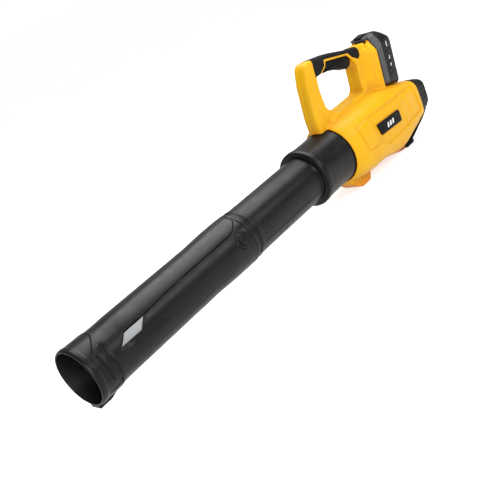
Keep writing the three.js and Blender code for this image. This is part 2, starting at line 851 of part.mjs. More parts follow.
// ---- battery ----
const battery = new THREE.Group();
battery.position.set(BATTERY_SEAT[0], 0, BATTERY_SEAT[1]);
battery.rotation.y = BATTERY_LEAN;
blower.add(battery);
const SHELL_SPLIT = 14; // how far out of the seat the two battery shells meet
const BATTERY_WALL = 2.4;
const CELL_R = 10.5;
const CELL_HALF = 32.5;
const CELLS = [
  [14.2, 18],
  [14.2, 39.6],
  [14.2, 61.2],
  [34.4, 28.6],
  [34.4, 50.4],
];

// Rings of the pack's convex shape: depth, lowest and shoulder height, top height and half width of the top.
const PACK_RINGS = [
  [0.2, 1.5, 66, 96, 19],
  [23, 0, 85, BATTERY.height, 21],
  [BATTERY.depth - 4, -3.5, 85.5, BATTERY.height - 7, 20],
  [BATTERY.depth, 3, 77, 84, 20],
];
// The part of the pack that reaches over the seat, with the release latch on it.
const HEAD = [
  [-9, 94, 1],
  [-9, 96.4, 1.5],
  [23, BATTERY.height - 0.2],
  [23, 94],
];
const HEAD_HALF_WIDTH = 15;
const LATCH = { half: 10, w: [-7, 8], u: [95.2, 100.6] };
const GAUGE = { u: 50, y: 10, r: 4.2, depth: BATTERY.depth - 1.4 };
const WINDOW = { y: [-15, 3], u: [45, 55] };

function packBody(inset) {
  return hull(
    PACK_RINGS.flatMap(([w, low, shoulder, top, topHalf], ring) => {
      const depth = w + (ring ? (ring === 3 ? -inset : 0) : inset);
      const half = BATTERY.halfWidth - inset - (ring === 3 ? 2 : 0);
      return [
        [depth, half - 4, low + inset],
        [depth, half, low + 4 + inset],
        [depth, half, shoulder - inset / 2],
        [depth, topHalf - inset / 2, top - inset],
      ];
    }),
  );
}

function gaugeDisc(w0, w1, r) {
  return placed(disc(w0, w1, r), new THREE.Matrix4().makeTranslation(0, GAUGE.y, GAUGE.u));
}

function makeBatteryBody() {
  const head = plate(HEAD, [-HEAD_HALF_WIDTH, HEAD_HALF_WIDTH], { steps: 2 });
  const neck = block([-LIP_DEPTH - 0.6, 3], [-NECK_HALF_WIDTH, NECK_HALF_WIDTH], [4, SEAT_TOP - 10]);
  const rail = block([-RAIL_DEPTH, -LIP_DEPTH], [-RAIL_HALF_WIDTH, RAIL_HALF_WIDTH], [4, SEAT_TOP - 16]);
  const core = packBody(BATTERY_WALL);
  const [w0, w1] = LATCH.w;
  const [u0, u1] = LATCH.u;
  const pocket = block([w0 - 6, w1 + 8], [-LATCH.half - 0.5, LATCH.half + 0.5], [u0 - 0.5, u1 + 9]);
  const [y0, y1] = WINDOW.y;
  const [low, high] = WINDOW.u;
  const window = block([GAUGE.depth, BATTERY.depth + 9], [y0 - GAP, y1 + GAP], [low - GAP, high + GAP]);
  let body = packBody(0).add(head).add(neck).add(rail).subtract(core).subtract(pocket);
  body = body.subtract(window).subtract(gaugeDisc(40, BATTERY.depth + 9, GAUGE.r + GAP));
  for (const side of [-1, 1]) {
    const y = side * BLADE_Y;
    body = body.subtract(block([-30, -1], [y - 1.4, y + 1.4], [-2, 52]));
  }
  return body;
}

const batteryBody = makeBatteryBody();
const inShell = block([-60, SHELL_SPLIT - GAP / 2], [-FAR, FAR], [-FAR, FAR]);
const outShell = block([SHELL_SPLIT + GAP / 2, 80], [-FAR, FAR], [-FAR, FAR]);
add("battery_rail_shell", largest(batteryBody.intersect(inShell)), black, battery);
add("battery_outer_shell", largest(batteryBody.intersect(outShell)), darkGrey, battery);
CELLS.forEach(([w, u], i) => {
  add(`battery_cell_${i + 1}`, across(w, u, -CELL_HALF, CELL_HALF, CELL_R, 20), cellBlue, battery);
});
add("battery_board", block([6, 24], [-26, 26], [76, 77.6]), boardGreen, battery);
const windowLens = block([GAUGE.depth + GAP, BATTERY.depth + 0.8], WINDOW.y, WINDOW.u);
add("charge_window", windowLens, greyInlay, battery);
add("charge_button", gaugeDisc(BATTERY.depth - 1, BATTERY.depth + 1.2, GAUGE.r), darkGrey, battery);
add("battery_latch", block(LATCH.w, [-LATCH.half, LATCH.half], LATCH.u), black, battery);
const springPlace = new THREE.Matrix4()
  .makeTranslation(LATCH.w[1] + 4, 0, (LATCH.u[0] + LATCH.u[1]) / 2)
  .multiply(new THREE.Matrix4().makeRotationY(Math.PI / 2));
add("latch_spring", placed(makeSpring(2, 0.4, 3.2, 3), springPlace), steel, battery);

// ---- terminals and wiring ----
function makeTerminalBlock() {
  return block([-31, -19.5], [-12, 12], [25, 42]);
}

function makeBlade(side) {
  const y = side * BLADE_Y;
  return block([-19.2, -4], [y - 0.5, y + 0.5], [27, 41]);
}

function seatSlits(body) {
  return [-1, 1].reduce((made, side) => {
    const y = side * BLADE_Y;
    return made.subtract(placed(block([-22, -10], [y - 0.9, y + 0.9], [26.4, 41.6]), seatFrame));
  }, body);
}

add("terminal_block", makeTerminalBlock(), darkGrey, battery);
add("terminal_blade_left", makeBlade(-1), copper, battery);
add("terminal_blade_right", makeBlade(1), copper, battery);

function makeBatteryLead(side) {
  const route = [
    [468.4, 8, 84.5],
    [466, 9, 72],
    [463.8, 8.6, 58],
    [464, 9.6, 50],
    [466, 18, 39],
    [474, 42, 18],
    [477, 50, -12],
    [482, 38, -44],
    [479, 18, -60.6],
  ];
  const points = route.map(([x, y, z]) => [x, side * y, z]);
  return rod(points, LEAD_R, 6, 18);
}

function makeMotorLead() {
  const route = [
    [464, 4, -61],
    [450, 4, -60.6],
    [436, 4, -60.4],
    [420, MOTOR_LEAD_Y, -60],
    [400, MOTOR_LEAD_Y, -59.3],
    [385, MOTOR_LEAD_Y, -58.2],
    [MOTOR_LEAD_X, MOTOR_LEAD_Y, -49],
    [MOTOR_LEAD_X, MOTOR_LEAD_Y, -36],
    [MOTOR_LEAD_X, MOTOR_LEAD_Y, -25.8],
  ];
  return rod(route, LEAD_R, 6, 20);
}

add("lead_positive", makeBatteryLead(1), redWire);
add("lead_negative", makeBatteryLead(-1), blackWire);
add("motor_lead", makeMotorLead(), blackWire);
add("controller_module", block([456, 492], [-24, 24], [-72.5, -63]), boardGreen);

// ---- side badges ----
function makeBadge(side) {
  const outline = [
    [376, -6, 2],
    [450, -10.5, 2],
    [450, 12.5, 2],
    [371, 17.5, 2],
  ];
  const y = side * (BODY_HALF_WIDTH + GAP);
  const span = side < 0 ? [y - 1.2, y] : [y, y + 1.2];
  return plate(outline, span, { steps: 2 });
}

add("badge_left", makeBadge(-1), black);
add("badge_right", makeBadge(1), black);

export default root;
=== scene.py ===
"""Cordless leaf blower: the detailed visual pieces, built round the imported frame.

Shapes are written in millimetres in the duct's frame: x = 0 at the joint of the two tubes, z = 0 on the
duct's axis, the nozzle towards -X and the user's left side towards -Y. finished() moves them to the
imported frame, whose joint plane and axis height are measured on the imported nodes.
"""

import json
import math

import bmesh
import bpy
import numpy as np
from mathutils import Matrix, Vector


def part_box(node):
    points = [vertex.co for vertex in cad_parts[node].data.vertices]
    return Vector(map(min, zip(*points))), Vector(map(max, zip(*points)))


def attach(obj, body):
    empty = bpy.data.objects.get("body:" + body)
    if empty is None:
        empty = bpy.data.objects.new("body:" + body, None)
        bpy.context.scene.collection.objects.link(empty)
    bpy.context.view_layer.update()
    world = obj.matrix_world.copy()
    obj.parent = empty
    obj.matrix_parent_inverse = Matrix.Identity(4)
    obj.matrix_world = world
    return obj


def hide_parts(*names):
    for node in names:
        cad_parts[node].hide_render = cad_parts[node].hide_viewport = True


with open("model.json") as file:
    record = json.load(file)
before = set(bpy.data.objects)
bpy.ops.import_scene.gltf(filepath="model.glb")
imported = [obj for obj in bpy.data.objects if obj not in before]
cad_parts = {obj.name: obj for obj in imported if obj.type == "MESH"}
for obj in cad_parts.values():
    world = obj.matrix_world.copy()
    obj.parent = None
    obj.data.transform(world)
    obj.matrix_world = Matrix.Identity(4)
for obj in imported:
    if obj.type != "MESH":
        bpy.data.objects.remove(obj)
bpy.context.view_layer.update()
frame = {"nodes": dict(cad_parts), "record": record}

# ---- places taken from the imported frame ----
MM = 0.001
JOINT_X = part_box("nozzle_tube")[1].x
AXIS_Z = (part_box("upper_tube")[0].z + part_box("upper_tube")[1].z) / 2


def node_mm(name):
    """A node's lowest and highest corner in the duct's frame, in millimetres."""
    low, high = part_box(name)
    shift = Vector((JOINT_X, 0, AXIS_Z))
    return (low - shift) / MM, (high - shift) / MM


GROUND_Z = node_mm("intake_grille")[0].z
MOUTH_X = node_mm("nozzle_tube")[0].x
REAR_X = node_mm("intake_grille")[1].x

# ---- driving dimensions ----
# Where the clamshell starts, where the intake grille takes over, their wall, and the gap between pieces.
BODY_X = 293.0
CUT_X = 549.0
WALL = 2.8
GAP = 0.35
# The tubes, their joint, the collar and the fan's duct.
TUBE_R = 45.4
TUBE_WALL = 2.2
SPIGOT_R = TUBE_R - 1.2
SOCKET_R = 47.6
SPIGOT_LENGTH = 58.0
COLLAR_X = 203.0
COLLAR_R = 56.2
DUCT_R = 51.0
# The joint's button: its radius, its place along the tube, and its turn above the left middle.
BUTTON_R = 8.6
LATCH_X = -28.0
LATCH_TURN = math.radians(16)
# The inlay, a slanted facet whose pale grey is a painted highlight: front end and length at its middle, span
# round the tube in degrees, slant per degree.
INLAY_X = -301.6
INLAY_LENGTH = 40.0
INLAY_LOW = 17.5
INLAY_HIGH = 34.0
INLAY_MIDDLE = 25.0
INLAY_SLANT = 0.98
# The handle's half width, the trigger's pin, and the battery's seat with the lean of its rails.
HANDLE_HALF = 16.0
TRIGGER_PIN = (439.0, 142.5)
SEAT = (486.0, 57.0)
SEAT_TOP = 92.5
BATTERY_LEAN = math.radians(10.5)
# The battery: depth out of the seat, height along the rails, half width, and where its two shells meet.
DEPTH = 48.0
HEIGHT = 104.0
PACK_HALF = 37.5
SPLIT = 14.0
CHARGE_BUTTON_AT = (10, 50)
# Cutters reach this far, past every surface. A lathed solid starts this little off its axis.
FAR = 400.0
ON_AXIS = 0.01
SIDES = ((-1, "left"), (1, "right"))


# ---- camera ----
def make_camera():
    azimuth = math.radians(-39.87)
    elevation = math.radians(21.36)
    roll = math.radians(25.42)
    look_at = Vector((-0.1064, -0.0140, 0.0631))
    distance = 1.3407
    back = Vector(
        (
            math.sin(azimuth) * math.cos(elevation),
            -math.cos(azimuth) * math.cos(elevation),
            math.sin(elevation),
        )
    )
    level = Vector((0, 0, 1)).cross(back).normalized()
    up = back.cross(level)
    right = level * math.cos(roll) - up * math.sin(roll)
    up = back.cross(right)
    data = bpy.data.cameras.new("camera")
    data.lens = 57.6
    data.sensor_width = 36
    data.clip_end = 100
    camera = bpy.data.objects.new("camera", data)
    turn = Matrix((right, up, back)).transposed().to_4x4()
    camera.matrix_world = Matrix.Translation(look_at + back * distance) @ turn
    bpy.context.scene.collection.objects.link(camera)
    bpy.context.scene.camera = camera


# ---- mesh helpers ----
def object_of(name, points, faces):
    """A mesh object from points in millimetres, in the duct's frame."""
    mesh = bpy.data.meshes.new(name)
    points = np.asarray(points, float)
    mesh.from_pydata(points.tolist(), [], [list(f) for f in faces])
    mesh.validate()
    made = bpy.data.objects.new(name, mesh)
    bpy.context.scene.collection.objects.link(made)
    return made


def points_of(made):
    flat = np.empty(len(made.data.vertices) * 3)
    made.data.vertices.foreach_get("co", flat)
    return flat.reshape(-1, 3)


def normals_of(made):
    flat = np.empty(len(made.data.vertices) * 3)
    made.data.vertex_normals.foreach_get("vector", flat)
    return flat.reshape(-1, 3)


def set_points(made, points):
    made.data.vertices.foreach_set("co", np.ascontiguousarray(points).ravel())
    made.data.update()


def copy_of(made, name):
    other = made.copy()
    other.data = made.data.copy()
    other.name = name
    bpy.context.scene.collection.objects.link(other)
    return other


def drop(*objects):
    for o in objects:
        mesh = o.data
        bpy.data.objects.remove(o)
        bpy.data.meshes.remove(mesh)


def applied(made):
    """The object with its modifiers made part of its mesh."""
    graph = bpy.context.evaluated_depsgraph_get()
    mesh = bpy.data.meshes.new_from_object(made.evaluated_get(graph))
    old = made.data
    made.modifiers.clear()
    made.data = mesh
    bpy.data.meshes.remove(old)
    return made


def combined(made, cutter, operation):
    """Boolean of two closed meshes. The cutter is used up."""
    step = made.modifiers.new("boolean", "BOOLEAN")
    step.operation = operation
    step.object = cutter
    step.solver = "MANIFOLD"
    applied(made)
    drop(cutter)
    return made


def cut(made, cutter):
    return combined(made, cutter, "DIFFERENCE")


def common(made, cutter):
    return combined(made, cutter, "INTERSECT")


def united(made, other):
    return combined(made, other, "UNION")


def joined(first, *others):
    """All the objects' meshes in one, without any boolean."""
    target = bmesh.new()
    for o in (first, *others):
        target.from_mesh(o.data)
    target.to_mesh(first.data)
    target.free()
    drop(*others)
    return first


def remeshed(made, voxel):
    step = made.modifiers.new("voxels", "REMESH")
    step.mode = "VOXEL"
    step.voxel_size = voxel
    return applied(made)


def smoothed(made, rounds, weight=0.5):
    """Moves each vertex towards the middle of its neighbours."""
    mesh = made.data
    ends = np.empty(len(mesh.edges) * 2, int)
    mesh.edges.foreach_get("vertices", ends)
    a, b = ends.reshape(-1, 2).T
    count = len(mesh.vertices)
    degree = np.maximum(np.bincount(a, minlength=count) + np.bincount(b, minlength=count), 1)
    points = points_of(made)
    for _ in range(rounds):
        total = np.empty_like(points)
        for k in range(3):
            total[:, k] = np.bincount(a, points[b, k], count) + np.bincount(b, points[a, k], count)
        points += weight * (total / degree[:, None] - points)
    set_points(made, points)
    return made


def bevelled(made, width, segments=2, angle=35):
    step = made.modifiers.new("bevel", "BEVEL")
    step.width = width
    step.segments = segments
    step.limit_method = "ANGLE"
    step.angle_limit = math.radians(angle)
    step.harden_normals = False
    return applied(made)


def sheet_faces(rows, columns):
    """Faces of a thin curved plate: two grids of quads, then the rim that joins them."""
    per_layer = (rows + 1) * (columns + 1)
    faces = []
    for layer in (0, 1):
        for row in range(rows):
            for column in range(columns):
                i = layer * per_layer + row * (columns + 1) + column
                faces.append((i, i + 1, i + columns + 2, i + columns + 1))
    rim = list(range(columns + 1))
    rim += [row * (columns + 1) + columns for row in range(1, rows + 1)]
    rim += [rows * (columns + 1) + column for column in range(columns - 1, -1, -1)]
    rim += [row * (columns + 1) for row in range(rows - 1, 0, -1)]
    for i, j in zip(rim, rim[1:] + rim[:1]):
        faces.append((i, j, j + per_layer, i + per_layer))
    return faces


def ring_faces(rings, around, closed=True):
    """Quads between rings of points that follow each other, joined end to start when closed."""
    faces = []
    last = rings if closed else rings - 1
    for ring in range(last):
        here = ring * around
        there = ((ring + 1) % rings) * around
        for i in range(around):
            j = (i + 1) % around
            faces.append((here + i, here + j, there + j, there + i))
    return faces


def lathe(name, outline, around=96):
    """A solid turned about the duct's axis from a closed outline of (x, radius)."""
    angles = np.arange(around) * 2 * math.pi / around
    points = [(x, r * math.cos(t), r * math.sin(t)) for x, r in outline for t in angles]
    return outward(object_of(name, points, ring_faces(len(outline), around)))


def rod(name, start, end, radius, around=96):
    """A plain round bar on the duct's axis, for cutting holes."""
    return lathe(name, [(start, ON_AXIS), (start, radius), (end, radius), (end, ON_AXIS)], around)


def outward(made):
    """Welds points that coincide, and turns all the faces outwards."""
    edit = bmesh.new()
    edit.from_mesh(made.data)
    bmesh.ops.remove_doubles(edit, verts=edit.verts, dist=1e-4)
    bmesh.ops.recalc_face_normals(edit, faces=edit.faces)
    edit.to_mesh(made.data)
    edit.free()
    return made


def arcs(corners, steps=6):
    """Corners (x, z, radius) as a closed outline whose corners are arcs, shortened where they don't fit."""
    flat = [np.array(c[:2], float) for c in corners]
    points = []
    for i, corner in enumerate(corners):
        radius = corner[2] if len(corner) > 2 else 0
        here = flat[i]
        to_before = flat[i - 1] - here
        to_after = flat[(i + 1) % len(flat)] - here
        room = min(np.linalg.norm(to_before), np.linalg.norm(to_after)) * 0.49
        to_before /= np.linalg.norm(to_before)
        to_after /= np.linalg.norm(to_after)
        half = math.acos(max(-1, min(1, float(to_before @ to_after)))) / 2
        if radius <= 0 or half > 1.55:
            points.append(here)
            continue
        radius = min(radius, room * math.tan(half))
        middle = to_before + to_after
        middle /= np.linalg.norm(middle)
        centre = here + middle * radius / math.sin(half)
        start = here + to_before * radius / math.tan(half) - centre
        turn = float(to_before[0] * to_after[1] - to_before[1] * to_after[0])
        sweep = (2 * half - math.pi) * math.copysign(1, turn)
        for s in range(steps + 1):
            a = sweep * s / steps
            c, n = math.cos(a), math.sin(a)
            points.append(centre + np.array((start[0] * c - start[1] * n, start[0] * n + start[1] * c)))
    return points


def offset(points, distance):
    """A closed outline moved inwards by a distance, with mitred corners."""
    p = np.array(points, float)
    area = np.sum(p[:, 0] * np.roll(p[:, 1], -1) - np.roll(p[:, 0], -1) * p[:, 1])
    edge = np.roll(p, -1, 0) - p
    edge /= np.maximum(np.linalg.norm(edge, axis=1, keepdims=True), 1e-9)
    inward = np.stack([-edge[:, 1], edge[:, 0]], 1) * np.sign(area)
    before = np.roll(inward, 1, 0)
    miter = (before + inward) / np.maximum(1 + np.sum(before * inward, 1, keepdims=True), 0.3)
    return p + miter * distance


def plate(name, corners, span, edge=0.0, steps=6, round_steps=4):
    """A plate in the XZ plane between two y values, with rounded edges."""
    outline = np.array(arcs(corners, steps))
    y0, y1 = span
    levels = [(y0, 0.0), (y1, 0.0)]
    if edge:
        turn = [math.pi / 2 * k / round_steps for k in range(round_steps + 1)]
        levels = [(y0 + edge * (1 - math.sin(t)), edge * (1 - math.cos(t))) for t in reversed(turn)]
        levels += [(y1 - edge * (1 - math.sin(t)), edge * (1 - math.cos(t))) for t in turn]
    points = []
    for y, inset in levels:
        points += [(x, y, z) for x, z in offset(outline, inset)]
    around = len(outline)
    faces = ring_faces(len(levels), around, closed=False)
    faces.append(list(range(around)))
    faces.append(list(range(len(points) - around, len(points))))
    return outward(object_of(name, points, faces))


def block(name, low, high, edge=0.0):
    corners = [(x, y, z) for x in (low[0], high[0]) for y in (low[1], high[1]) for z in (low[2], high[2])]
    made = hull(name, corners)
    return bevelled(made, edge, 3) if edge else made


def hull(name, points):
    """The smallest convex solid round the points."""
    mesh = bpy.data.meshes.new(name)
    edit = bmesh.new()
    for p in points:
        edit.verts.new(p)
    result = bmesh.ops.convex_hull(edit, input=edit.verts)
    loose = [v for v in result["geom_interior"] if isinstance(v, bmesh.types.BMVert)]
    bmesh.ops.delete(edit, geom=loose, context="VERTS")
    bmesh.ops.dissolve_limit(edit, angle_limit=math.radians(1), verts=edit.verts, edges=edit.edges)
    bmesh.ops.recalc_face_normals(edit, faces=edit.faces)
    edit.to_mesh(mesh)
    edit.free()
    made = bpy.data.objects.new(name, mesh)
    bpy.context.scene.collection.objects.link(made)
    return made


def mirrored(points):
    """Each point on both sides of the parting plane."""
    return [(x, s * y, z) for x, y, z in points for s in (-1, 1)]


def moved(made, matrix):
    made.data.transform(matrix)
    made.data.update()
    return made


def in_seat(made):
    """From the battery seat's frame (w out of the seat, y, u up the rails) to the duct's frame."""
    place = Matrix.Translation((SEAT[0], 0, SEAT[1])) @ Matrix.Rotation(BATTERY_LEAN, 4, "Y")
    return moved(made, place)


def on_latch(made):
    """From a frame with its X along the duct's axis to the radial direction of the tube's button."""
    turn = Matrix.Rotation(-LATCH_TURN, 4, "X")
    place = Matrix.Translation((LATCH_X, 0, 0)) @ Matrix.Rotation(-math.pi / 2, 4, "Z")
    return moved(made, turn @ place)


def ramp(value, low, high):
    """Eases from 0 at low to 1 at high."""
    t = np.clip((np.asarray(value, float) - low) / (high - low), 0, 1)
    return t * t * (3 - 2 * t)


def ridge(distance, width, power=2):
    """1 on a line, falling smoothly to nothing over about twice the width."""
    return np.exp(-(np.abs(distance / width) ** power))


def inside(x, z, corners):
    """How far points lie inside a convex outline, negative outside."""
    c = np.array(corners, float)
    area = np.sum(c[:, 0] * np.roll(c[:, 1], -1) - np.roll(c[:, 0], -1) * c[:, 1])
    depth = np.full(np.shape(x), 1e9)
    for (ax, az), (bx, bz) in zip(c, np.roll(c, -1, 0)):
        length = math.hypot(bx - ax, bz - az)
        side = ((bx - ax) * (z - az) - (bz - az) * (x - ax)) / length * np.sign(area)
        depth = np.minimum(depth, side)
    return depth


# ---- materials ----
def nodes_of(material):
    material.use_nodes = True
    tree = material.node_tree
    return tree, tree.nodes["Principled BSDF"]


def valued(node, **values):
    """Sets a node's inputs. A space in an input's name is written as an underscore."""
    for name, value in values.items():
        node.inputs[name.replace("_", " ")].default_value = value
    return node


def texture(tree, kind, **values):
    """A texture, or its mapping, in the object's own coordinates."""
    made = valued(tree.nodes.new(kind), **values)
    where = tree.nodes.new("ShaderNodeTexCoord")
    tree.links.new(where.outputs["Object"], made.inputs["Vector"])
    return made


def noise_node(tree, scale, detail=3.0, rough=0.5):
    return texture(tree, "ShaderNodeTexNoise", Scale=scale, Detail=detail, Roughness=rough)


def ramp_node(tree, source, low, high, low_at=0.35, high_at=0.65):
    made = tree.nodes.new("ShaderNodeValToRGB")
    made.color_ramp.elements[0].position = low_at
    made.color_ramp.elements[1].position = high_at
    made.color_ramp.elements[0].color = (*low, 1)
    made.color_ramp.elements[1].color = (*high, 1)
    tree.links.new(source, made.inputs["Fac"])
    return made


def shade(colour, times, plus=0.0):
    """A colour made darker or lighter."""
    return tuple(min(1, c * times + plus) for c in colour)


def tinted(tree, source, colour, darker, lighter):
    """A colour that shifts between a darker and a lighter shade of itself."""
    return ramp_node(tree, source, shade(colour, darker), shade(colour, lighter)).outputs["Color"]


def glossed(tree, shader, source, low, high):
    """Roughness that shifts between two values."""
    gloss = ramp_node(tree, source, (low,) * 3, (high,) * 3)
    tree.links.new(gloss.outputs["Color"], shader.inputs["Roughness"])


def raised(tree, shader, source, strength, distance):
    """Fine relief from a texture, in metres."""
    relief = valued(tree.nodes.new("ShaderNodeBump"), Strength=strength, Distance=distance)
    tree.links.new(source, relief.inputs["Height"])
    tree.links.new(relief.outputs["Normal"], shader.inputs["Normal"])


def blended(tree, factor, surface, colour):
    """The surface's colour, giving way to another one where the factor is high."""
    mix = tree.nodes.new("ShaderNodeMix")
    mix.data_type = "RGBA"
    mix.inputs["B"].default_value = (*colour, 1)
    tree.links.new(factor, mix.inputs["Factor"])
    tree.links.new(surface, mix.inputs["A"])
    return mix.outputs["Result"]


def worn(tree, colour, edge_colour, amount):
    """Mixes a lighter colour into the sharp edges, broken up by noise."""
    geometry = tree.nodes.new("ShaderNodeNewGeometry")
    edges = ramp_node(tree, geometry.outputs["Pointiness"], (0, 0, 0), (1, 1, 1), 0.52, 0.62)
    broken = ramp_node(tree, noise_node(tree, 90, 4).outputs["Fac"], (0, 0, 0), (amount,) * 3)
    both = tree.nodes.new("ShaderNodeMath")
    both.operation = "MULTIPLY"
    tree.links.new(edges.outputs["Color"], both.inputs[0])
    tree.links.new(broken.outputs["Color"], both.inputs[1])
    return blended(tree, both.outputs["Value"], colour, edge_colour)


def moulded(name, colour, rough, grain=1500, bump=0.03, spread=0.06, wear=0.0, coat=0.0, specular=0.5):
    """Moulded plastic: fine spark-eroded grain, slow shifts of colour and gloss, paler edges."""
    material = bpy.data.materials.new(name)
    tree, shader = nodes_of(material)
    slow = noise_node(tree, 22, 3)
    tint = tinted(tree, slow.outputs["Fac"], colour, 1 - spread, 1 + spread)
    tree.links.new(worn(tree, tint, shade(colour, 1.5, 0.02), wear), shader.inputs["Base Color"])
    glossed(tree, shader, noise_node(tree, 60, 5, 0.6).outputs["Fac"], rough - 0.05, rough + 0.06)
    raised(tree, shader, noise_node(tree, grain, 2).outputs["Fac"], bump, 0.0004)
    valued(shader, Coat_Weight=coat, Coat_Roughness=0.12, Specular_IOR_Level=specular)
    return material


def painted_hollow_shade(material, colour):
    """Painted shade: ambient occlusion mixes a deeper hue into the base colour in hollows, standing in for
    light that bounces about in a hollow of coloured plastic.
    """
    tree, shader = nodes_of(material)
    surface = shader.inputs["Base Color"].links[0].from_socket
    open_sky = valued(tree.nodes.new("ShaderNodeAmbientOcclusion"), Distance=0.03)
    open_sky.samples = 6
    depth = ramp_node(tree, open_sky.outputs["AO"], (1, 1, 1), (0, 0, 0), 0.35, 0.95)
    # Painted shade: the deeper hue takes over the base colour where the hollow is most closed in.
    mixed = blended(tree, depth.outputs["Color"], surface, colour)
    tree.links.new(mixed, shader.inputs["Base Color"])


def rubber(name, colour):
    """Overmoulded rubber: matt, with a pebbled surface."""
    material = bpy.data.materials.new(name)
    tree, shader = nodes_of(material)
    slow = noise_node(tree, 30, 3).outputs["Fac"]
    tint = tinted(tree, slow, colour, 0.85, 1.2)
    tree.links.new(worn(tree, tint, (0.06, 0.06, 0.062), 0.2), shader.inputs["Base Color"])
    pebbles = texture(tree, "ShaderNodeTexVoronoi", Scale=900)
    pebbles.feature = "SMOOTH_F1"
    raised(tree, shader, pebbles.outputs["Distance"], 0.3, 0.0005)
    glossed(tree, shader, slow, 0.58, 0.72)
    valued(shader, Specular_IOR_Level=0.1)
    return material


def metal(name, colour, rough, stretch=(40, 40, 900)):
    """Machined or drawn metal with fine lines and a little tarnish."""
    material = bpy.data.materials.new(name)
    tree, shader = nodes_of(material)
    tarnish = noise_node(tree, 160, 4).outputs["Fac"]
    tree.links.new(tinted(tree, tarnish, colour, 0.8, 1.1), shader.inputs["Base Color"])
    scale = texture(tree, "ShaderNodeMapping", Scale=stretch)
    lines = valued(tree.nodes.new("ShaderNodeTexNoise"), Scale=6)
    tree.links.new(scale.outputs["Vector"], lines.inputs["Vector"])
    glossed(tree, shader, lines.outputs["Fac"], rough - 0.08, rough + 0.1)
    raised(tree, shader, lines.outputs["Fac"], 0.1, 0.0002)
    valued(shader, Metallic=1)
    return material


MATERIALS = {
    "yellow_shell": moulded(
        "yellow_plastic", (0.45, 0.236, 0.0026), 0.4, bump=0.05, spread=0.03, wear=0.1, specular=0.12
    ),
    "black_shell": moulded("black_plastic", (0.0022, 0.0022, 0.0023), 0.35, spread=0.15, specular=0.15),
    "matt_black": moulded("matt_black_plastic", (0.002, 0.002, 0.002), 0.5, spread=0.15, specular=0.08),
    "soft_grip": rubber("grip_rubber", (0.0035, 0.0035, 0.0038)),
    # Grey plastic on the charge window; on the nozzle's inlay the same pale grey is a painted highlight.
    "grey_inlay": moulded(
        "grey_plastic_and_painted_highlight", (0.14, 0.144, 0.148), 0.36, grain=1300, bump=0.04, spread=0.05, wear=0.2
    ),
    # Pale print on the badges; on the pack's sides the same pale colour is a painted highlight.
    "pale_print_and_painted_highlight": moulded("pale_print_and_painted_highlight", (0.5, 0.51, 0.52), 0.38, grain=900, spread=0.03, wear=0.1),
    "dark_plastic": moulded(
        "dark_grey_plastic",
        (0.035, 0.035, 0.037),
        0.42,
        grain=1100,
        bump=0.1,
        spread=0.1,
        wear=0.2,
        specular=0.25,
    ),
    "steel": metal("plain_steel", (0.5, 0.51, 0.53), 0.32),
    "copper": metal("copper", (0.72, 0.33, 0.14), 0.34),
    "alloy": metal("cast_aluminium", (0.62, 0.63, 0.65), 0.42, (200, 200, 200)),
    "cell_wrap": moulded("cell_wrap", (0.05, 0.16, 0.38), 0.3, grain=500, spread=0.08, wear=0.1, coat=0.3),
    "board": moulded(
        "board_resist", (0.014, 0.12, 0.04), 0.35, grain=800, bump=0.06, spread=0.15, wear=0.1, coat=0.2
    ),
    "wire_red": moulded("red_silicone", (0.42, 0.015, 0.012), 0.5, grain=900, bump=0.08, spread=0.08),
    "wire_black": moulded("black_silicone", (0.01, 0.01, 0.01), 0.5, grain=900, bump=0.08, spread=0.1),
}
# Painted shade: a deeper orange mixed into the yellow shell's colour in its hollows and creases.
painted_hollow_shade(MATERIALS["yellow_shell"], (0.44, 0.135, 0.002))


def finished(made, slot, body, *nodes, sharp=38, material=None):
    """Gives a piece its place in metres, its material and its body, and hides the nodes that it stands for.
    """
    made.data.transform(Matrix.Translation((JOINT_X, 0, AXIS_Z)) @ Matrix.Scale(MM, 4))
    made.data.materials.clear()
    made.data.materials.append(material or MATERIALS[slot])
    made.data.shade_smooth()
    made.data.set_sharp_from_angle(angle=math.radians(sharp))
    made.data.update()
    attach(made, body)
    if nodes:
        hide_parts(*nodes)
    return made


# ---- tubes ----
def tube_grid(name, stations, outer, bore, around=480):
    """A closed tube whose outside radius is a function of x and of the angle above the left middle."""
    angles = np.arange(around) * 2 * math.pi / around
    signed = (angles + math.pi) % (2 * math.pi) - math.pi
    rings = []
    for x in stations:
        r = outer(np.full(around, x), signed)
        rings.append(np.stack([np.full(around, x), -r * np.cos(angles), r * np.sin(angles)], 1))
    for x, r in reversed(bore):
        rings.append(np.stack([np.full(around, x), -r * np.cos(angles), r * np.sin(angles)], 1))
    points = np.concatenate(rings)
    return outward(object_of(name, points, ring_faces(len(rings), around)))


def fold(angle):
    """The angle above the middle of whichever side a point is on, so that both sides look alike."""
    degrees = np.degrees(angle)
    return np.where(np.abs(degrees) > 90, np.sign(degrees) * 180 - degrees, degrees)


def profile(x, knots):
    """Radius along the tube through (x, radius) knots."""
    xs, rs = zip(*knots)
    return np.interp(x, xs, rs)


def mouth_relief(x, a):
    """The slanted band at the mouth, thicker underneath, and two short grooves on each side."""
    edge = MOUTH_X + 11.5 + 35.5 * ramp(a, 20, 90) + 3.0 * ramp(-a, 30, 90)
    out = 0.9 * (1 - ramp(x, edge - 0.8, edge + 0.8))
    out = out + 0.7 * ridge(x - edge, 1.1) * ramp(a, 5, 25)
    under = (1 - ramp(x, MOUTH_X + 43, MOUTH_X + 44.5)) * ramp(x, MOUTH_X + 4, MOUTH_X + 30)
    out = out + 1.5 * under * ramp(-a, 36, 44)
    for centre, top, bottom in ((MOUTH_X + 40, 49, -38), (MOUTH_X + 25.5, 37, -18)):
        along = ramp(a, bottom - 4, bottom + 2) * (1 - ramp(a, top - 3, top + 2))
        out = out - 2.5 * ridge(x - centre, 2.3, 3) * along
        out = out + 0.5 * ridge(x - centre + 4.2, 1.9) * along
    return out


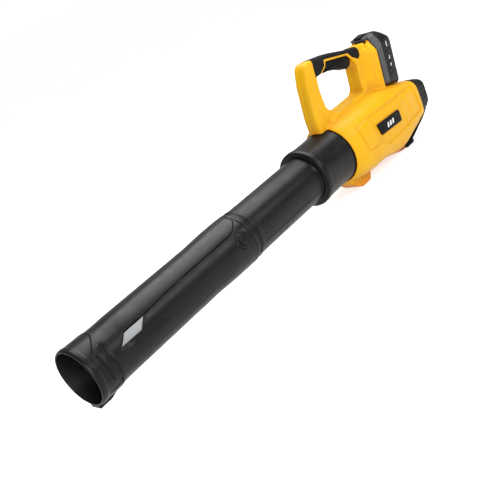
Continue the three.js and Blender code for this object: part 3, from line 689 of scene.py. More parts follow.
def panel_relief(x, a):
    """The raised upper panel. Its lower edge runs level, then turns up round a corner near the joint."""
    corner = np.clip((x + 46) / 34, 0, 1)
    edge = 36.5 + 5 * ramp(x, -290, -150) + 22 * corner**2.2
    shown = ramp(x, -300, -282) * (1 - ramp(x, -14, -10))
    out = 0.7 * shown * ramp(a, edge - 0.4, edge + 0.6) - 1.3 * ridge(a - edge + 1.2, 0.9) * shown
    low_line = ramp(x, -262, -240) * (1 - ramp(x, -70, -58))
    return out - 0.5 * ridge(a + 24, 1.4) * low_line


def inlay_relief(x, a):
    """The inlay's slanted bed, and a wedge-shaped hollow under it."""
    front = INLAY_X + (a - INLAY_MIDDLE) * INLAY_SLANT
    rear = front + INLAY_LENGTH
    bed = ramp(x, front - 2.9, front - 0.9) * (1 - ramp(x, rear + 1.1, rear + 3.1))
    bed = bed * ramp(a, INLAY_LOW - 2, INLAY_LOW - 1) * (1 - ramp(a, INLAY_HIGH + 1, INLAY_HIGH + 2))
    deep = 22 * ramp(x, -316, -268) * (1 - ramp(x, -262, -206))
    top = INLAY_LOW - 1.5 - 12 * ramp(x, -268, -214)
    wedge = ramp(x, -318, -300) * (1 - ramp(x, -240, -206))
    wedge = wedge * ramp(a, top - 4 - deep, top) * (1 - ramp(a, top - 0.6, top + 1.2))
    return -0.9 * bed - 2.4 * wedge


def button_relief(x, angle):
    """A raised ring round the release button, and a groove round that."""
    away = np.hypot(x - LATCH_X, (angle - LATCH_TURN) * SOCKET_R)
    return 0.9 * (1 - ramp(np.abs(away - 11.2), 0.7, 1.9)) - 1.0 * ridge(away - 13.8, 0.9)


def nozzle_radius(x, angle):
    """The nozzle's outside: lip, taper and socket, with all that stands out of it or is sunk in it."""
    a = fold(angle)
    lip = TUBE_R + 2.6
    r = profile(
        x,
        [
            (MOUTH_X, lip - 2.7), (MOUTH_X + 0.8, lip - 1.4), (MOUTH_X + 2.0, lip - 0.5),
            (MOUTH_X + 3.6, lip), (MOUTH_X + 9, lip), (MOUTH_X + 11, lip - 0.7),
            (MOUTH_X + 60, TUBE_R + 0.5), (MOUTH_X + 270, TUBE_R), (-74, TUBE_R + 0.9),
            (-56, SOCKET_R - 0.5), (-3.2, SOCKET_R), (-1.2, SOCKET_R - 0.25), (0, SOCKET_R - 1.1),
        ],
    )
    r = r + mouth_relief(x, a) + panel_relief(x, a) + inlay_relief(x, a) + button_relief(x, angle)
    # The seam groove near the joint.
    return r - 0.9 * ridge(x + 8.5, 0.9)


def make_nozzle():
    stations = np.concatenate(
        [
            np.arange(MOUTH_X, MOUTH_X + 66, 0.8),
            np.arange(MOUTH_X + 66, -236, 1.0),
            np.arange(-236, -76, 2.5),
            np.arange(-76, 0.01, 0.8),
        ]
    )
    bore_r = TUBE_R - TUBE_WALL
    socket_bore = SPIGOT_R + GAP
    bore = [
        (MOUTH_X, TUBE_R - 0.3), (MOUTH_X + 1, TUBE_R - 0.9), (MOUTH_X + 70, bore_r),
        (-SPIGOT_LENGTH - 4, bore_r), (-SPIGOT_LENGTH - 2, socket_bore), (0, socket_bore),
    ]
    tube = tube_grid("nozzle_tube_shell", stations, nozzle_radius, bore)
    cut(tube, on_latch(rod("hole", 30, 62, BUTTON_R + GAP, 48)))
    front = MOUTH_X + 1
    root = -TUBE_R - 0.4
    low = node_mm("nozzle_tube")[0].z - 2.2
    outline = [(front, root), (front, low, 1.5), (front + 23, low, 3), (front + 45, root)]
    united(tube, plate("skid", outline, (-11, 11), 0.8))
    finished(tube, "black_shell", "nozzle", "nozzle_tube", sharp=30)


def make_nozzle_button():
    """A dished round cap on a stem, its foot kept inside by the socket."""
    top = SOCKET_R + 0.6
    shoulder = SPIGOT_R + GAP + 1.6
    outline = [
        (SPIGOT_R - 1.5, ON_AXIS), (SPIGOT_R - 1.5, 6.0), (shoulder, 6.0), (shoulder, BUTTON_R),
        (top - 1.0, BUTTON_R), (top - 0.35, BUTTON_R - 0.3), (top - 0.05, BUTTON_R - 1.2),
        (top - 0.05, BUTTON_R - 2.2), (top - 0.5, 4.8), (top - 0.7, 2.4), (top - 0.75, ON_AXIS),
    ]
    cap = lathe("button_cap", outline, 64)
    stem = lathe("stem", [(38.2, ON_AXIS), (38.2, 3.2), (38.6, 3.6), (44, 3.6), (44, ON_AXIS)], 32)
    united(cap, stem)
    on_latch(cap)
    cap.name = "nozzle_release_button"
    finished(cap, "black_shell", "nozzle_button", "nozzle_button")


def make_inlay(side, name):
    """A slanted plate bent round the tube, with its outer edges rounded off. The plate stands proud of the
    tube as a facet, and its pale grey is a painted highlight of the light that facet catches.
    """
    rows, columns = 14, 26
    mm_per_degree = 0.79
    height = (INLAY_HIGH - INLAY_LOW) * mm_per_degree
    sheet = []
    for layer in (TUBE_R - 0.55, TUBE_R + 1.0):
        for row in range(rows + 1):
            a = INLAY_LOW + (INLAY_HIGH - INLAY_LOW) * row / rows
            front = INLAY_X + (a - INLAY_MIDDLE) * INLAY_SLANT
            for column in range(columns + 1):
                x = front + INLAY_LENGTH * column / columns
                from_edge = min(row, rows - row) / rows * height
                from_edge = min(from_edge, min(column, columns - column) / columns * INLAY_LENGTH)
                lowered = 0.55 * (1 - min(1, from_edge / 1.1)) ** 2 if layer > TUBE_R else 0
                r = layer - lowered
                t = math.radians(a)
                sheet.append((x, side * r * math.cos(t), r * math.sin(t)))
    made = outward(object_of(name + "_plate", sheet, sheet_faces(rows, columns)))
    # Painted highlight: the inlay's pale grey stands for light caught by its slanted facet.
    finished(made, "grey_inlay", "nozzle", name, sharp=45)


def upper_radius(x, angle):
    """The upper tube's outside: bead behind the joint and a shallow flat on each side."""
    a = fold(angle)
    r = profile(
        x,
        [
            (-SPIGOT_LENGTH, SPIGOT_R - 1.2), (-SPIGOT_LENGTH + 2.4, SPIGOT_R), (0.4, SPIGOT_R),
            (0.8, TUBE_R + 0.1), (1.4, TUBE_R + 0.4), (6.6, TUBE_R + 0.4), (7.8, TUBE_R + 0.5),
            (9, TUBE_R + 1.1), (12.6, TUBE_R + 1.1), (14.2, TUBE_R), (COLLAR_X + 30, TUBE_R),
        ],
    )
    panel = ramp(x, 17, 20) * (1 - ramp(x, COLLAR_X - 8, COLLAR_X - 5))
    low_side = ramp(a, -25.6, -23.6) * (1 - ramp(a, 41, 43))
    return r - 0.9 * panel * low_side - 1.0 * ridge(x - 5.0, 1.1) * ramp(x, 1.2, 2)


def make_upper_tube():
    stations = np.concatenate(
        [
            [-SPIGOT_LENGTH, -SPIGOT_LENGTH + 1.2, -SPIGOT_LENGTH + 2.4, -40, -20, 0, 0.4, 0.8],
            np.arange(1.2, 24, 0.6),
            np.arange(24, COLLAR_X - 10, 3),
            np.arange(COLLAR_X - 10, COLLAR_X + 0.1, 1),
            [COLLAR_X + 30],
        ]
    )
    bore_r = TUBE_R - TUBE_WALL
    bore = [(-SPIGOT_LENGTH, bore_r - 1), (-2, bore_r - 1), (4, bore_r), (COLLAR_X + 30, bore_r)]
    tube = tube_grid("upper_tube_shell", stations, upper_radius, bore)
    slot_length = SPIGOT_LENGTH + LATCH_X + 6
    cut(tube, on_latch(block("slot", (30, -slot_length, -5), (60, 5, 5))))
    finished(tube, "black_shell", "housing", "upper_tube", sharp=30)


def make_collar():
    """The collar between the tube and the clamshell, with its rolled front edge."""
    rear = BODY_X + 22
    bore = TUBE_R + GAP
    outline = [
        (COLLAR_X - 4, bore), (COLLAR_X - 4, bore + 2.0), (COLLAR_X - 2.6, COLLAR_R - 5.4),
        (COLLAR_X - 2.2, COLLAR_R - 3.2), (COLLAR_X - 0.4, COLLAR_R - 0.7),
        (COLLAR_X + 1.4, COLLAR_R), (COLLAR_X + 9.5, COLLAR_R), (COLLAR_X + 11, COLLAR_R - 0.25),
        (COLLAR_X + 12.2, COLLAR_R - 1.1), (COLLAR_X + 15, COLLAR_R - 1.2),
        (COLLAR_X + 46, COLLAR_R - 1.8), (BODY_X - 3, COLLAR_R - 1.2),
        (BODY_X - 1.6, COLLAR_R - 1.0), (BODY_X + 6, COLLAR_R - 1.0), (BODY_X + 6, COLLAR_R + 0.5),
        (BODY_X + 12, COLLAR_R + 0.5), (BODY_X + 12, COLLAR_R - 0.9), (rear, COLLAR_R - 2.6),
        (rear, DUCT_R), (COLLAR_X + 31, bore),
    ]
    collar = lathe("outlet_collar_shell", outline, 160)
    finished(collar, "black_shell", "housing", "outlet_collar", sharp=24)


# ---- clamshell ----
SECTIONS = [
    # x, half width, top, bottom, squareness
    (BODY_X, 58.6, 58.6, -58.6, 2.0),
    (BODY_X + 7, 61.8, 60.6, -61.4, 2.1),
    (BODY_X + 21, 65.0, 61.4, -64.4, 2.35),
    (345, 67.0, 61.8, -66.6, 2.7),
    (400, 67.0, 61.8, -68.6, 2.9),
    (430, 66.8, 61.2, -75.0, 2.9),
    (460, 66.0, 58.4, -83.0, 2.8),
    (478, 65.0, 55.2, -86.4, 2.8),
    (500, 63.0, 50.0, -78.6, 3.0),
    (524, 60.2, 43.0, -68.4, 3.4),
    (CUT_X, 57.0, 35.6, -58.0, 4.0),
    (REAR_X, 50.0, 23.4, -42.0, 4.0),
]
HANDLE = [
    (274, 48), (276, 84, 30), (290, 146, 30), (306, 183.5, 18), (380, 171, 60), (446, 151.8, 20),
    (497, 145.8, 12), (483, 48),
]
HAND_HOLE = [
    (323, 147.5, 3), (317, 121, 20), (316.5, 88, 14), (340, 66, 12), (434, 66, 5), (446, 118, 5),
    (437.5, 133.5, 4), (428, 145.6, 4), (361.5, 161.5, 4), (357.5, 153, 3), (341, 146.5, 4),
]
FOOT = [
    (296, -50), (298, -64, 8), (314, -79, 10), (331, GROUND_Z, 7), (357, GROUND_Z, 6),
    (370, -66, 8), (380, -55),
]
GRIP = [
    (330, 192), (323, 168), (320, 152), (319, 148.5), (331, 147.5), (340.5, 150, 2),
    (353.5, 156.5, 3), (357.5, 167.2, 3), (431, 149, 4), (439.5, 137.4, 4), (456.5, 126.5, 6),
    (464, 131, 6), (465.5, 141, 6), (463, 149.4, 4), (454, 156), (450, 192),
]
GRILLE_ZONE = [
    (CUT_X, 80), (CUT_X - 1, -38), (500, -62), (480, GROUND_Z - 1), (480, -120), (660, -120),
    (660, 80),
]
SCREWS = [(301, 78), (305, 140), (457, 80), (334, -73), (444, -70)]


def section_at(x):
    """The body's cross-section at x, eased between the listed ones."""
    table = np.array(SECTIONS)
    xs = table[:, 0]
    slopes = np.gradient(table[:, 1:], xs, axis=0)
    i = int(np.clip(np.searchsorted(xs, x) - 1, 0, len(xs) - 2))
    width = xs[i + 1] - xs[i]
    t = np.clip((x - xs[i]) / width, 0, 1)
    a = 2 * t**3 - 3 * t**2 + 1
    b = t**3 - 2 * t**2 + t
    c = -2 * t**3 + 3 * t**2
    d = t**3 - t**2
    return a * table[i, 1:] + b * width * slopes[i] + c * table[i + 1, 1:] + d * width * slopes[i + 1]


def body_loft(name, inset=0.0, front=BODY_X, rear=REAR_X, step=3.0, around=144):
    """The body as a loft through its rounded cross-sections."""
    stations = np.append(np.arange(front, rear - 0.5, step), rear)
    angles = np.arange(around) * 2 * math.pi / around
    c, s = np.cos(angles), np.sin(angles)
    points = []
    for x in stations:
        half, top, bottom, square = section_at(x)
        height = np.where(s > 0, top - inset, -bottom - inset)
        y = np.sign(c) * np.abs(c) ** (2 / square) * (half - inset)
        z = np.sign(s) * np.abs(s) ** (2 / square) * height
        points += list(np.stack([np.full(around, x), y, z], 1))
    faces = ring_faces(len(stations), around, closed=False)
    faces.append(list(range(around)))
    faces.append(list(range(len(points) - around, len(points))))
    return outward(object_of(name, points, faces))


def above_ground():
    """What of the body's whole length lies above the line it stands on."""
    return block("ground", (BODY_X - 40, -FAR, GROUND_Z), (REAR_X + 40, FAR, FAR))


def body_room(name):
    """The room inside the body's wall."""
    return body_loft(name, WALL, BODY_X - 1, REAR_X - WALL)


def seat_hull(name):
    """The rear post, which carries the battery's seat."""
    rim = [(-GAP, half, u) for half, u in ((34.5, -14), (34.5, 69), (17, SEAT_TOP))]
    rim += [(-9, half, u) for half, u in ((34.5, -14), (34.5, 67), (16, SEAT_TOP - 2.5))]
    front = [(-44, HANDLE_HALF - 4, -14), (-40, HANDLE_HALF - 7, SEAT_TOP - 14)]
    return in_seat(hull(name, mirrored(rim + front)))


PAD = [(321, 35), (356, 39), (363, -16), (328, -13)]
PANEL = [(361, 40.5), (533, 31.5), (540, -29), (468, -31), (394, -34), (368, -18)]
BADGE = [(376, -6, 2), (450, -10.5, 2), (450, 12.5, 2), (371, 17.5, 2)]


def side_relief(x, z):
    """How far the body's side stands out: pad, sunk panel, and steps behind the badge."""
    out = 1.7 * ramp(inside(x, z, PAD), -0.5, 1.0)
    out -= 0.9 * ridge(inside(x, z, PAD) + 1.5, 1.1)
    out -= 2.5 * ramp(inside(x, z, PANEL), -0.6, 1.2)
    along = x + 0.24 * z
    band = ramp(inside(x, z, PANEL), 3.5, 6)
    out += 1.6 * band * (ramp(along, 463, 466) - ramp(along, 478, 480))
    out += 1.8 * band * (ramp(along, 493, 497) - ramp(along, 510, 512.5))
    inner = inside(x, z, [(367, 22), (455, 17.5), (455, -16), (372, -11)])
    out += 0.7 * ramp(inner, -0.8, 1.2)
    return out


def crease_under(x):
    """Height of the line where the body's side starts to turn under."""
    return np.interp(x, [330, 392, 442, 455, 480, 500, 544, 560], [-62, -60, -60, -56, -47, -41, -36, -36])


def side_panels(points, normals):
    x, y, z = points.T
    facing = ramp(np.abs(normals[:, 1]), 0.55, 0.8) * (np.abs(y) > 40) * (x > 306)
    points += normals * (side_relief(x, z) * facing)[:, None]


def turned_under(points, normals):
    """Below a creased line the sides slope inwards."""
    x, y, z = points.T
    under = np.clip(crease_under(x) - z, 0, 30) * ramp(x, 430, 470) * (np.abs(y) > 30) * (x < CUT_X + 20)
    points[:, 1] -= np.sign(y) * 0.28 * under
    edge = ridge(z - crease_under(x), 1.4) * ramp(x, 395, 425) * (1 - ramp(x, 540, 550))
    points -= normals * (0.9 * edge * (np.abs(y) > 40))[:, None]


def post_grooves(points, normals):
    """A long shallow groove down each side of the front post."""
    x, y, z = points.T
    post = (x < 330) * (z > 62) * (np.abs(y) > 9)
    fade = post * ramp(z, 66, 74) * (1 - ramp(z, 150, 165))
    points -= normals * (0.8 * ridge(x - 300 - 0.18 * (z - 84), 1.5) * fade)[:, None]


def seat_folds(points, normals):
    """Two folds down each side of the rear post, level with the battery's seat."""
    x, y, z = points.T
    w = (x - SEAT[0]) * math.cos(BATTERY_LEAN) - (z - SEAT[1]) * math.sin(BATTERY_LEAN)
    u = (x - SEAT[0]) * math.sin(BATTERY_LEAN) + (z - SEAT[1]) * math.cos(BATTERY_LEAN)
    fade = (np.abs(y) > 14) * ramp(u, 2, 10) * (1 - ramp(u, 66 - w, 74 - w))
    folds = ridge(w + 9 + 0.075 * u, 1.3) + ridge(w + 20.3 - 0.055 * u, 1.3)
    points -= normals * (1.1 * folds * fade)[:, None]


def seams(points, normals):
    """The parting line of the two halves, and the crease between the hand loop's foot and the body."""
    x, y, z = points.T
    points -= normals * (0.7 * ridge(y, 1.1))[:, None]
    crease = ridge(np.abs(y) - 23.5, 1.4) * (z > 50) * ramp(x, 300, 314) * (1 - ramp(x, 455, 468))
    points -= normals * (1.1 * crease)[:, None]


def make_base():
    """The outside of the clamshell as one smooth solid, before it is hollowed and split."""
    body = common(body_loft("base"), above_ground())
    handle = plate("handle", HANDLE, (-HANDLE_HALF, HANDLE_HALF), 7.5, 10, 6)
    cut(handle, plate("hole", HAND_HOLE, (-FAR, FAR), 0, 8))
    foot = plate("foot", FOOT, (-19, 19), 3, 6)
    outline = [(312, 40), (312, 64, 6), (330, 70, 14), (436, 70, 10), (452, 96, 40), (470, 60), (470, 40)]
    root = plate("root", outline, (-21, 21), 6)
    cut(root, plate("hole", HAND_HOLE, (-FAR, FAR), 0, 8))
    base = joined(body, handle, seat_hull("seat"), foot, root)
    remeshed(base, 1.25)
    smoothed(base, 7, 0.6)
    points, normals = points_of(base), normals_of(base)
    for relief in (side_panels, turned_under, post_grooves, seat_folds, seams):
        relief(points, normals)
    set_points(base, points)
    return base


def hollow(name):
    """Everything inside the clamshell that is empty, as one closed solid."""
    core = plate("core", offset(arcs(HANDLE, 8), 4.4), (-12.5, 12.5), 3.5)
    cut(core, plate("keep", offset(arcs(HAND_HOLE, 6), -3.4), (-FAR, FAR)))
    cut(core, in_seat(block("wall", (-20, -40, -16), (0, 40, SEAT_TOP + 6))))
    return united(body_room(name), core)


def rail_slot():
    """The T-shaped slot that the battery's rail slides in."""
    inner = block("rail_slot", (-13.2, -18.5, 3), (-3.25, 18.5, SEAT_TOP + 20))
    mouth = block("mouth", (-3.6, -13.5, 3), (20, 13.5, SEAT_TOP + 20))
    return in_seat(united(inner, mouth))


def trigger_slot():
    """Room for the trigger under the handle, and for its arm behind the pin."""
    px, pz = TRIGGER_PIN
    outline = [
        (341, 138), (343, 160), (358, 169.5), (px - 8, pz + 9), (px + 1, pz + 4), (px + 2, pz - 8),
        (px, 130), (px - 3, 120),
    ]
    slot = plate("trigger_slot", outline, (-12.8, 12.8))
    return united(slot, block("arm", (px - 10, -6.4, pz - 16), (px + 20, 6.4, pz + 4)))


def grip_zone(name, grow=0.0):
    """The part of the handle that the rubber covers, seen from the side."""
    return plate(name, offset(arcs(GRIP, 5), -grow), (-40, 40))


def grip_core(name, grow=0.0):
    """The handle's hard core under the rubber."""
    sunk = 1.8 - grow
    span = HANDLE_HALF - sunk
    core = plate(name, offset(arcs(HANDLE, 8), sunk), (-span, span), 6, 1, 5)
    return cut(core, plate("hole", offset(arcs(HAND_HOLE, 6), -sunk), (-FAR, FAR)))


def along_y(made, x, z):
    """Turns a lathed piece so that its axis runs along +Y through a point."""
    return moved(made, Matrix.Translation((x, 0, z)) @ Matrix.Rotation(math.pi / 2, 4, "Z"))


def on_side(side, low, high):
    """A span of y values on one side of the parting plane."""
    return sorted((side * low, side * high))


def in_halves(solid, piece, slot, node):
    """Splits a solid along the parting plane into its two finished halves."""
    for side, name in SIDES:
        half = copy_of(solid, piece.format(name))
        low, high = on_side(side, GAP / 2, FAR)
        common(half, block("half", (-FAR, low, -FAR), (2 * FAR, high, FAR)))
        finished(half, slot, "housing", f"{node}_{name}", sharp=50)
    drop(solid)


def make_clamshell():
    base = make_base()
    shell = copy_of(base, "shell")
    cut(shell, hollow("room"))
    cut(shell, rod("opening", BODY_X - 40, BODY_X, COLLAR_R + 0.2))
    cut(shell, rod("collar_room", BODY_X - 1, BODY_X + 14, COLLAR_R + 1))
    cut(shell, plate("zone", GRILLE_ZONE, (-FAR, FAR)))
    cut(shell, rail_slot())
    cut(shell, trigger_slot())
    cut(shell, cut(grip_zone("pocket", GAP), grip_core("core", -GAP)))
    for x, z in SCREWS:
        well = [(-12, ON_AXIS), (-12, 2), (9, 2), (9, 3.8), (34, 3.8), (34, ON_AXIS)]
        cut(shell, along_y(lathe("well", well, 32), x, z))
    in_halves(shell, "clamshell_{}", "yellow_shell", "housing")
    # The rubber stands a little proud of the plastic round it.
    set_points(base, points_of(base) + normals_of(base) * 0.35)
    common(base, grip_zone("grip_zone"))
    cut(base, grip_core("core"))
    in_halves(base, "grip_{}_rubber", "soft_grip", "grip")


def make_screws():
    """Pan-head screws with a six-lobed socket."""
    outline = [
        (-12, ON_AXIS), (-12, 0.8), (-10.4, 1.7), (9.4, 1.7), (9.4, 3.2), (10.6, 3.4), (11.6, 3.0),
        (12, 2.2), (12, ON_AXIS),
    ]
    turns = np.arange(36) * math.pi / 18
    star = [(1.25 + 0.35 * math.cos(6 * t)) * np.array((math.cos(t), math.sin(t))) for t in turns]
    for i, (x, z) in enumerate(SCREWS):
        screw = lathe(f"screw_{i + 1}", outline, 32)
        cut(screw, moved(plate("socket", star, (10.2, 14)), Matrix.Rotation(-math.pi / 2, 4, "Z")))
        along_y(screw, x, z)
        finished(screw, "steel", "housing", f"housing_screw_{i + 1}")


# ---- intake grille ----
def make_grille():
    """Rear plate with upright slots, see-through ribs under it, and the skid bar."""
    body = common(body_loft("grille", 0, BODY_X, REAR_X, 2.5), above_ground())
    united(body, block("skid", (488, -30, GROUND_Z), (517, 30, GROUND_Z + 11), 2))
    common(body, plate("zone", offset(GRILLE_ZONE, GAP), (-FAR, FAR)))
    cut(body, body_room("room"))
    pitch, half = 9.4, 2.6
    under = [(524, -80), (585, -55), (580, -34), (519, -63)]
    for row in range(-4, 5):
        y = row * pitch
        cut(body, block("slot", (REAR_X - 8, y - half, -34), (REAR_X + 6, y + half, 16)))
        cut(body, plate("slot", under, (y - half, y + half)))
    remeshed(body, 0.8)
    smoothed(body, 3, 0.5)
    points, normals = points_of(body), normals_of(body)
    x, y, z = points.T
    # Fine ribs run round the rim between the clamshell and the rear plate.
    outer = np.maximum(np.abs(normals[:, 1]), normals[:, 2]) > 0.55
    rim = (x > CUT_X + 2) * (x < REAR_X - 3) * outer
    along = ramp(x, CUT_X + 5, CUT_X + 7) - ramp(x, CUT_X + 30, CUT_X + 32)
    teeth = 0.5 + 0.5 * np.cos((z + y) * 2 * math.pi / pitch)
    points -= normals * (rim * (0.9 * along) * ramp(teeth, 0.35, 0.65))[:, None]
    set_points(body, points)
    body.name = "intake_guard"
    finished(body, "black_shell", "housing", "intake_grille", sharp=55, material=MATERIALS["matt_black"])


# ---- trigger ----
def make_trigger():
    """The trigger's rounded lever, and the lug that its pin goes through."""
    px, pz = TRIGGER_PIN
    outline = [
        (344.5, 145, 2), (372, 140.6, 30), (404, 130, 30), (421, 122, 6), (435, 126, 6),
        (435, 137, 4), (427, 147.4, 3), (361.5, 162.6, 3), (356, 154.5, 2),
    ]
    lever = plate("trigger_lever", outline, (-12, 12), 3.2, 8)
    outline = [
        (412, 132), (px, pz - 8, 5), (px + 24, pz - 11, 2), (px + 24, pz - 6, 2),
        (px + 6, pz + 2, 4), (px - 3, pz + 6, 4), (412, 150),
    ]
    united(lever, plate("lug", outline, (-6, 6), 0.5))
    cut(lever, along_y(rod("hole", -20, 20, 2.35, 24), px, pz))
    finished(lever, "black_shell", "trigger", "trigger", sharp=40, material=MATERIALS["matt_black"])


# ---- battery ----
PACK_RINGS = [
    # depth, lowest, shoulder height, top, half width of the top
    (0.2, -2, 66, 96, 19),
    (23, -4.4, 85, HEIGHT, 21),
    (DEPTH - 4, -7.4, 85.5, HEIGHT - 7, 20),
    (DEPTH, -3, 77, 84, 20),
]


def pack_body(name, inset=0.0):
    """The pack's outside as a convex solid, or its room when inset."""
    first, last = 0, len(PACK_RINGS) - 1
    points = []
    for ring, (w, low, shoulder, top, top_half) in enumerate(PACK_RINGS):
        depth = w + (inset if ring == first else -inset if ring == last else 0)
        half = PACK_HALF - inset - (2 if ring == last else 0)
        points += [
            (depth, half - 4, low + inset), (depth, half, low + 4 + inset),
            (depth, half, shoulder - inset / 2), (depth, top_half - inset / 2, top - inset),
        ]
    return hull(name, mirrored(points))


def at_charge_button(made):
    return moved(made, Matrix.Translation((0, *CHARGE_BUTTON_AT)))


def make_battery():
    """The pack's two shells: rail and head towards the seat, and the ribbed outer shell."""
    pack = bevelled(pack_body("pack"), 2.2, 3, 12)
    outline = [(-9, 92.2, 1), (-9, 96.4, 2), (23, HEIGHT - 0.2), (23, 93), (-2, 93)]
    united(pack, plate("head", outline, (-17.5, 17.5), 1.0))
    united(pack, block("neck", (-4.2, -13, 4), (3, 13, SEAT_TOP - 10)))
    united(pack, block("rail", (-12.4, -18, 4), (-3.6, 18, SEAT_TOP - 16), 0.6))
    cut(pack, pack_body("room", 2.4))
    cut(pack, block("pocket", (-13, -10.5, 94.7), (16, 10.5, 110)))
    cut(pack, block("window", (DEPTH - 1.4, -15.35, 44.65), (DEPTH + 9, 3.35, 55.35)))
    cut(pack, at_charge_button(rod("well", 40, DEPTH + 9, 4.55, 32)))
    for y in (-8, 8):
        cut(pack, block("slit", (-30, y - 1.4, -2), (-1, y + 1.4, 52)))
    inner = copy_of(pack, "pack_rail_half")
    common(inner, block("half", (-60, -60, -60), (SPLIT - GAP / 2, 60, 200)))
    pack.name = "pack_outer_half"
    common(pack, block("half", (SPLIT + GAP / 2, -60, -60), (90, 60, 200)))
    add_pack_ribs(pack)
    finished(in_seat(inner), "dark_plastic", "battery", "battery_rail_shell", sharp=32)
    finished(in_seat(pack), "black_shell", "battery", "battery_outer_shell", sharp=32)


def add_pack_ribs(outer):
    """Slanted ribs and an upright bar on both sides, and a ribbed rear face."""
    for side, _ in SIDES:
        span = on_side(side, PACK_HALF - 0.5, PACK_HALF + 0.9)
        for k in range(7):
            u = 12 + 11 * k
            corners = [(21, u, 1), (38, u + 2.4, 1), (38, u + 6.2, 1), (21, u + 3.8, 1)]
            united(outer, plate("rib", corners, span, 0.5, 3, 3))
        corners = [(15.2, 8, 1.5), (18.4, 8, 1.5), (18.4, 79, 1.5), (15.2, 79, 1.5)]
        united(outer, plate("rib", corners, on_side(side, PACK_HALF - 0.9, PACK_HALF + 0.5), 0.5))
    for k in range(5):
        u = 10 + 7 * k
        united(outer, block("rib", (DEPTH - 2, -26, u), (DEPTH + 0.9, 26, u + 3.2), 0.6))


def make_pack_highlights_and_gauge():
    """Pale marks on the pack's sides, painted highlights standing for the light that the ribs catch, and the
    rear charge gauge with its four bars.
    """
    for side, name in SIDES:
        span = on_side(side, PACK_HALF - 0.2, PACK_HALF + 1.5)
        marks = []
        # Painted highlights: three pale slanted strips across the ribs, where light glints on their edges.
        for u, tall in ((68, 10), (43, 7), (29, 6)):
            corners = [(27.2, u, 0.4), (28.7, u, 0.4), (29.5, u + tall, 0.4), (28.0, u + tall, 0.4)]
            marks.append(plate("mark", corners, span, 0.35, 3, 3))
        made = joined(*marks)
        made.name = f"pack_painted_highlights_{name}"
        finished(in_seat(made), "grey_inlay", "battery", material=MATERIALS["pale_print_and_painted_highlight"])
    window = block("charge_window_lens", (DEPTH - 1.0, -15, 45), (DEPTH + 0.8, 3, 55), 0.5)
    for k in range(4):
        y = -13.2 + 4.1 * k
        united(window, block("bar", (DEPTH + 0.2, y, 47), (DEPTH + 1.1, y + 2.6, 53), 0.25))
    finished(in_seat(window), "grey_inlay", "battery", "charge_window")


def make_charge_button():
    outline = [
        (DEPTH - 1, ON_AXIS), (DEPTH - 1, 4.2), (DEPTH + 0.8, 4.2), (DEPTH + 1.2, 3.7),
        (DEPTH + 1.0, 2.4), (DEPTH + 0.7, ON_AXIS),
    ]
    button = at_charge_button(lathe("charge_button_cap", outline, 40))
    finished(in_seat(button), "dark_plastic", "charge_button", "charge_button")


def make_battery_latch():
    """The latch's key on top of the pack, with four ribs for the thumb."""
    latch = block("battery_latch_key", (-7, -10, 95.2), (8, 10, 100.6), 1.2)
    for k in range(4):
        w = -4 + 3 * k
        united(latch, block("rib", (w, -7, 100.2), (w + 1.2, 7, 101.2), 0.35))
    finished(in_seat(latch), "black_shell", "battery_latch", "battery_latch")


# ---- badges ----
def make_badges():
    """A black plate on each side with three slanted bars."""
    for side, name in SIDES:
        badge = plate(f"badge_{name}_plate", BADGE, on_side(side, 65.2, 68.2), 0.7, 5, 3)
        finished(badge, "black_shell", "housing", f"badge_{name}", sharp=45, material=MATERIALS["matt_black"])
        marks = []
        for x in (399, 408, 417):
            corners = [(x, -2, 0.8), (x + 4.6, -2, 0.8), (x + 8.2, 7, 0.8), (x + 3.6, 7, 0.8)]
            marks.append(plate("mark", corners, on_side(side, 67.9, 68.7), 0.25, 3, 2))
        made = joined(*marks)
        made.name = f"badge_{name}_bars"
        finished(made, "grey_inlay", "housing", material=MATERIALS["pale_print_and_painted_highlight"])


# ---- fan ----
BLADES = 9
HUB_R = 26.0


def fan_blade(middle, turn):
    """A twisted blade, thin towards its tip and its rear edge, whose root is inside the hub."""
    rows, columns = 10, 16
    root, tip = HUB_R - 1.5, DUCT_R - 1.4
    points = []
    for face in (-1, 1):
        for row in range(rows + 1):
            t = row / rows
            radius = root + (tip - root) * t
            pitch = math.radians(46 - 16 * t)
            chord = 27 - 5 * t
            for column in range(columns + 1):
                s = column / columns
                thick = face * (0.25 + 1.3 * math.sin(math.pi * min(1, s * 1.1)) * (1 - 0.45 * t))
                across = 2.4 * math.sin(math.pi * s) + thick
                along = (s - 0.5) * chord
                x = along * math.cos(pitch) - across * math.sin(pitch)
                arc = along * math.sin(pitch) + across * math.cos(pitch)
                angle = turn + arc / radius
                points.append((middle + x, radius * math.sin(-angle), radius * math.cos(angle)))
    return outward(object_of("blade", points, sheet_faces(rows, columns)))


def make_impeller():
    """The domed hub with its blades."""
    front = node_mm("fan_impeller")[0].x
    bore = 2.85
    outline = [
        (front, bore), (front, HUB_R - 2.6), (front + 0.6, HUB_R - 2), (front + 3, HUB_R),
        (front + 26, HUB_R), (front + 31, 24.2), (front + 35, 20), (front + 37.4, 14),
        (front + 38, 7.6), (front + 37.4, 7), (front + 30, 7), (front + 30, bore),
    ]
    hub = lathe("fan_rotor_blades", outline, 72)
    for blade in range(BLADES):
        united(hub, fan_blade(front + 15, blade * 2 * math.pi / BLADES))
    finished(hub, "black_shell", "rotor", "fan_impeller", sharp=40)


# ---- pieces that keep their CAD shape ----
def dress_frame():
    """Gives every node still shown the material of its slot."""
    slots = {row["node"]: row["material_slot"] for row in frame["record"]["subparts"]}
    for name, node in frame["nodes"].items():
        if node.hide_render:
            continue
        node.data.materials.clear()
        node.data.materials.append(MATERIALS[slots[name]])
        node.data.shade_smooth()
        node.data.set_sharp_from_angle(angle=math.radians(32))


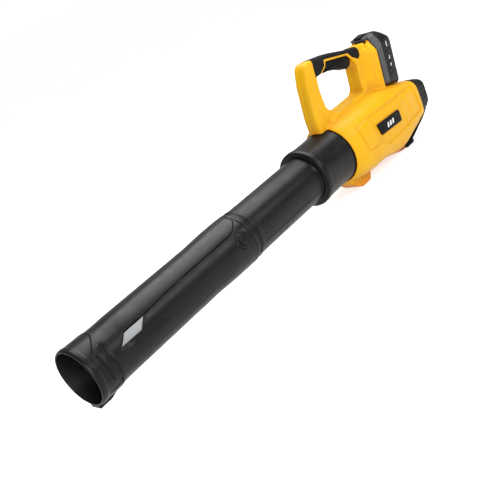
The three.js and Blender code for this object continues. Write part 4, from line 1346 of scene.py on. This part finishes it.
# ---- floor and light ----
def make_stage():
    """A pale matt floor that glows a little, as a sweep lit from behind does."""
    bpy.ops.mesh.primitive_plane_add(size=40, location=(0, 0, 0))
    floor = bpy.context.object
    floor.name = "floor"
    material = bpy.data.materials.new("floor")
    tree, shader = nodes_of(material)
    tint = ramp_node(tree, noise_node(tree, 3, 2).outputs["Fac"], (0.49, 0.49, 0.49), (0.52, 0.52, 0.52))
    tree.links.new(tint.outputs["Color"], shader.inputs["Base Color"])
    valued(shader, Roughness=0.9, Specular_IOR_Level=0.1)
    valued(shader, Emission_Color=(1, 1, 1, 1), Emission_Strength=0.64)
    floor.data.materials.append(material)


def make_light():
    """A sky that darkens upwards, two softboxes for the tubes' highlights, a fill, and a soft dome."""
    bpy.context.scene.view_settings.view_transform = "Standard"
    world = bpy.data.worlds.new("studio")
    bpy.context.scene.world = world
    world.use_nodes = True
    tree = world.node_tree
    where = tree.nodes.new("ShaderNodeTexCoord")
    axes = tree.nodes.new("ShaderNodeSeparateXYZ")
    tree.links.new(where.outputs["Generated"], axes.inputs["Vector"])
    sky = ramp_node(tree, axes.outputs["Z"], (1.05, 1.05, 1.05), (0.35, 0.35, 0.35), 0.03, 0.25)
    tree.links.new(sky.outputs["Color"], tree.nodes["Background"].inputs["Color"])
    middle = Vector((JOINT_X, 0, AXIS_Z))
    # Name, place, width and height, and power of each soft light.
    for name, place, size, power in (
        ("top_softbox", (0.6, 0.22, 1.45), (1.5, 1.1), 42),
        ("side_softbox", (0.46, -1.16, 0.83), (0.9, 0.3), 10),
        ("front_fill", (-1.7, -1.6, 0.9), (1.2, 1.0), 56),
    ):
        data = bpy.data.lights.new(name, "AREA")
        data.shape = "RECTANGLE"
        data.size, data.size_y = size
        data.energy = power
        lamp = bpy.data.objects.new(name, data)
        lamp.location = place
        lamp.rotation_euler = (middle - Vector(place)).to_track_quat("-Z", "Y").to_euler()
        bpy.context.scene.collection.objects.link(lamp)
    data = bpy.data.lights.new("dome", "SUN")
    data.energy = 1.0
    data.angle = math.radians(100)
    bpy.context.scene.collection.objects.link(bpy.data.objects.new("dome", data))


make_camera()
make_nozzle()
make_nozzle_button()
for inlay_side, side_name in SIDES:
    make_inlay(inlay_side, f"nozzle_inlay_{side_name}")
make_upper_tube()
make_collar()
make_clamshell()
make_screws()
make_grille()
make_trigger()
make_battery()
make_pack_highlights_and_gauge()
make_charge_button()
make_battery_latch()
make_badges()
make_impeller()
dress_frame()
make_stage()
make_light()
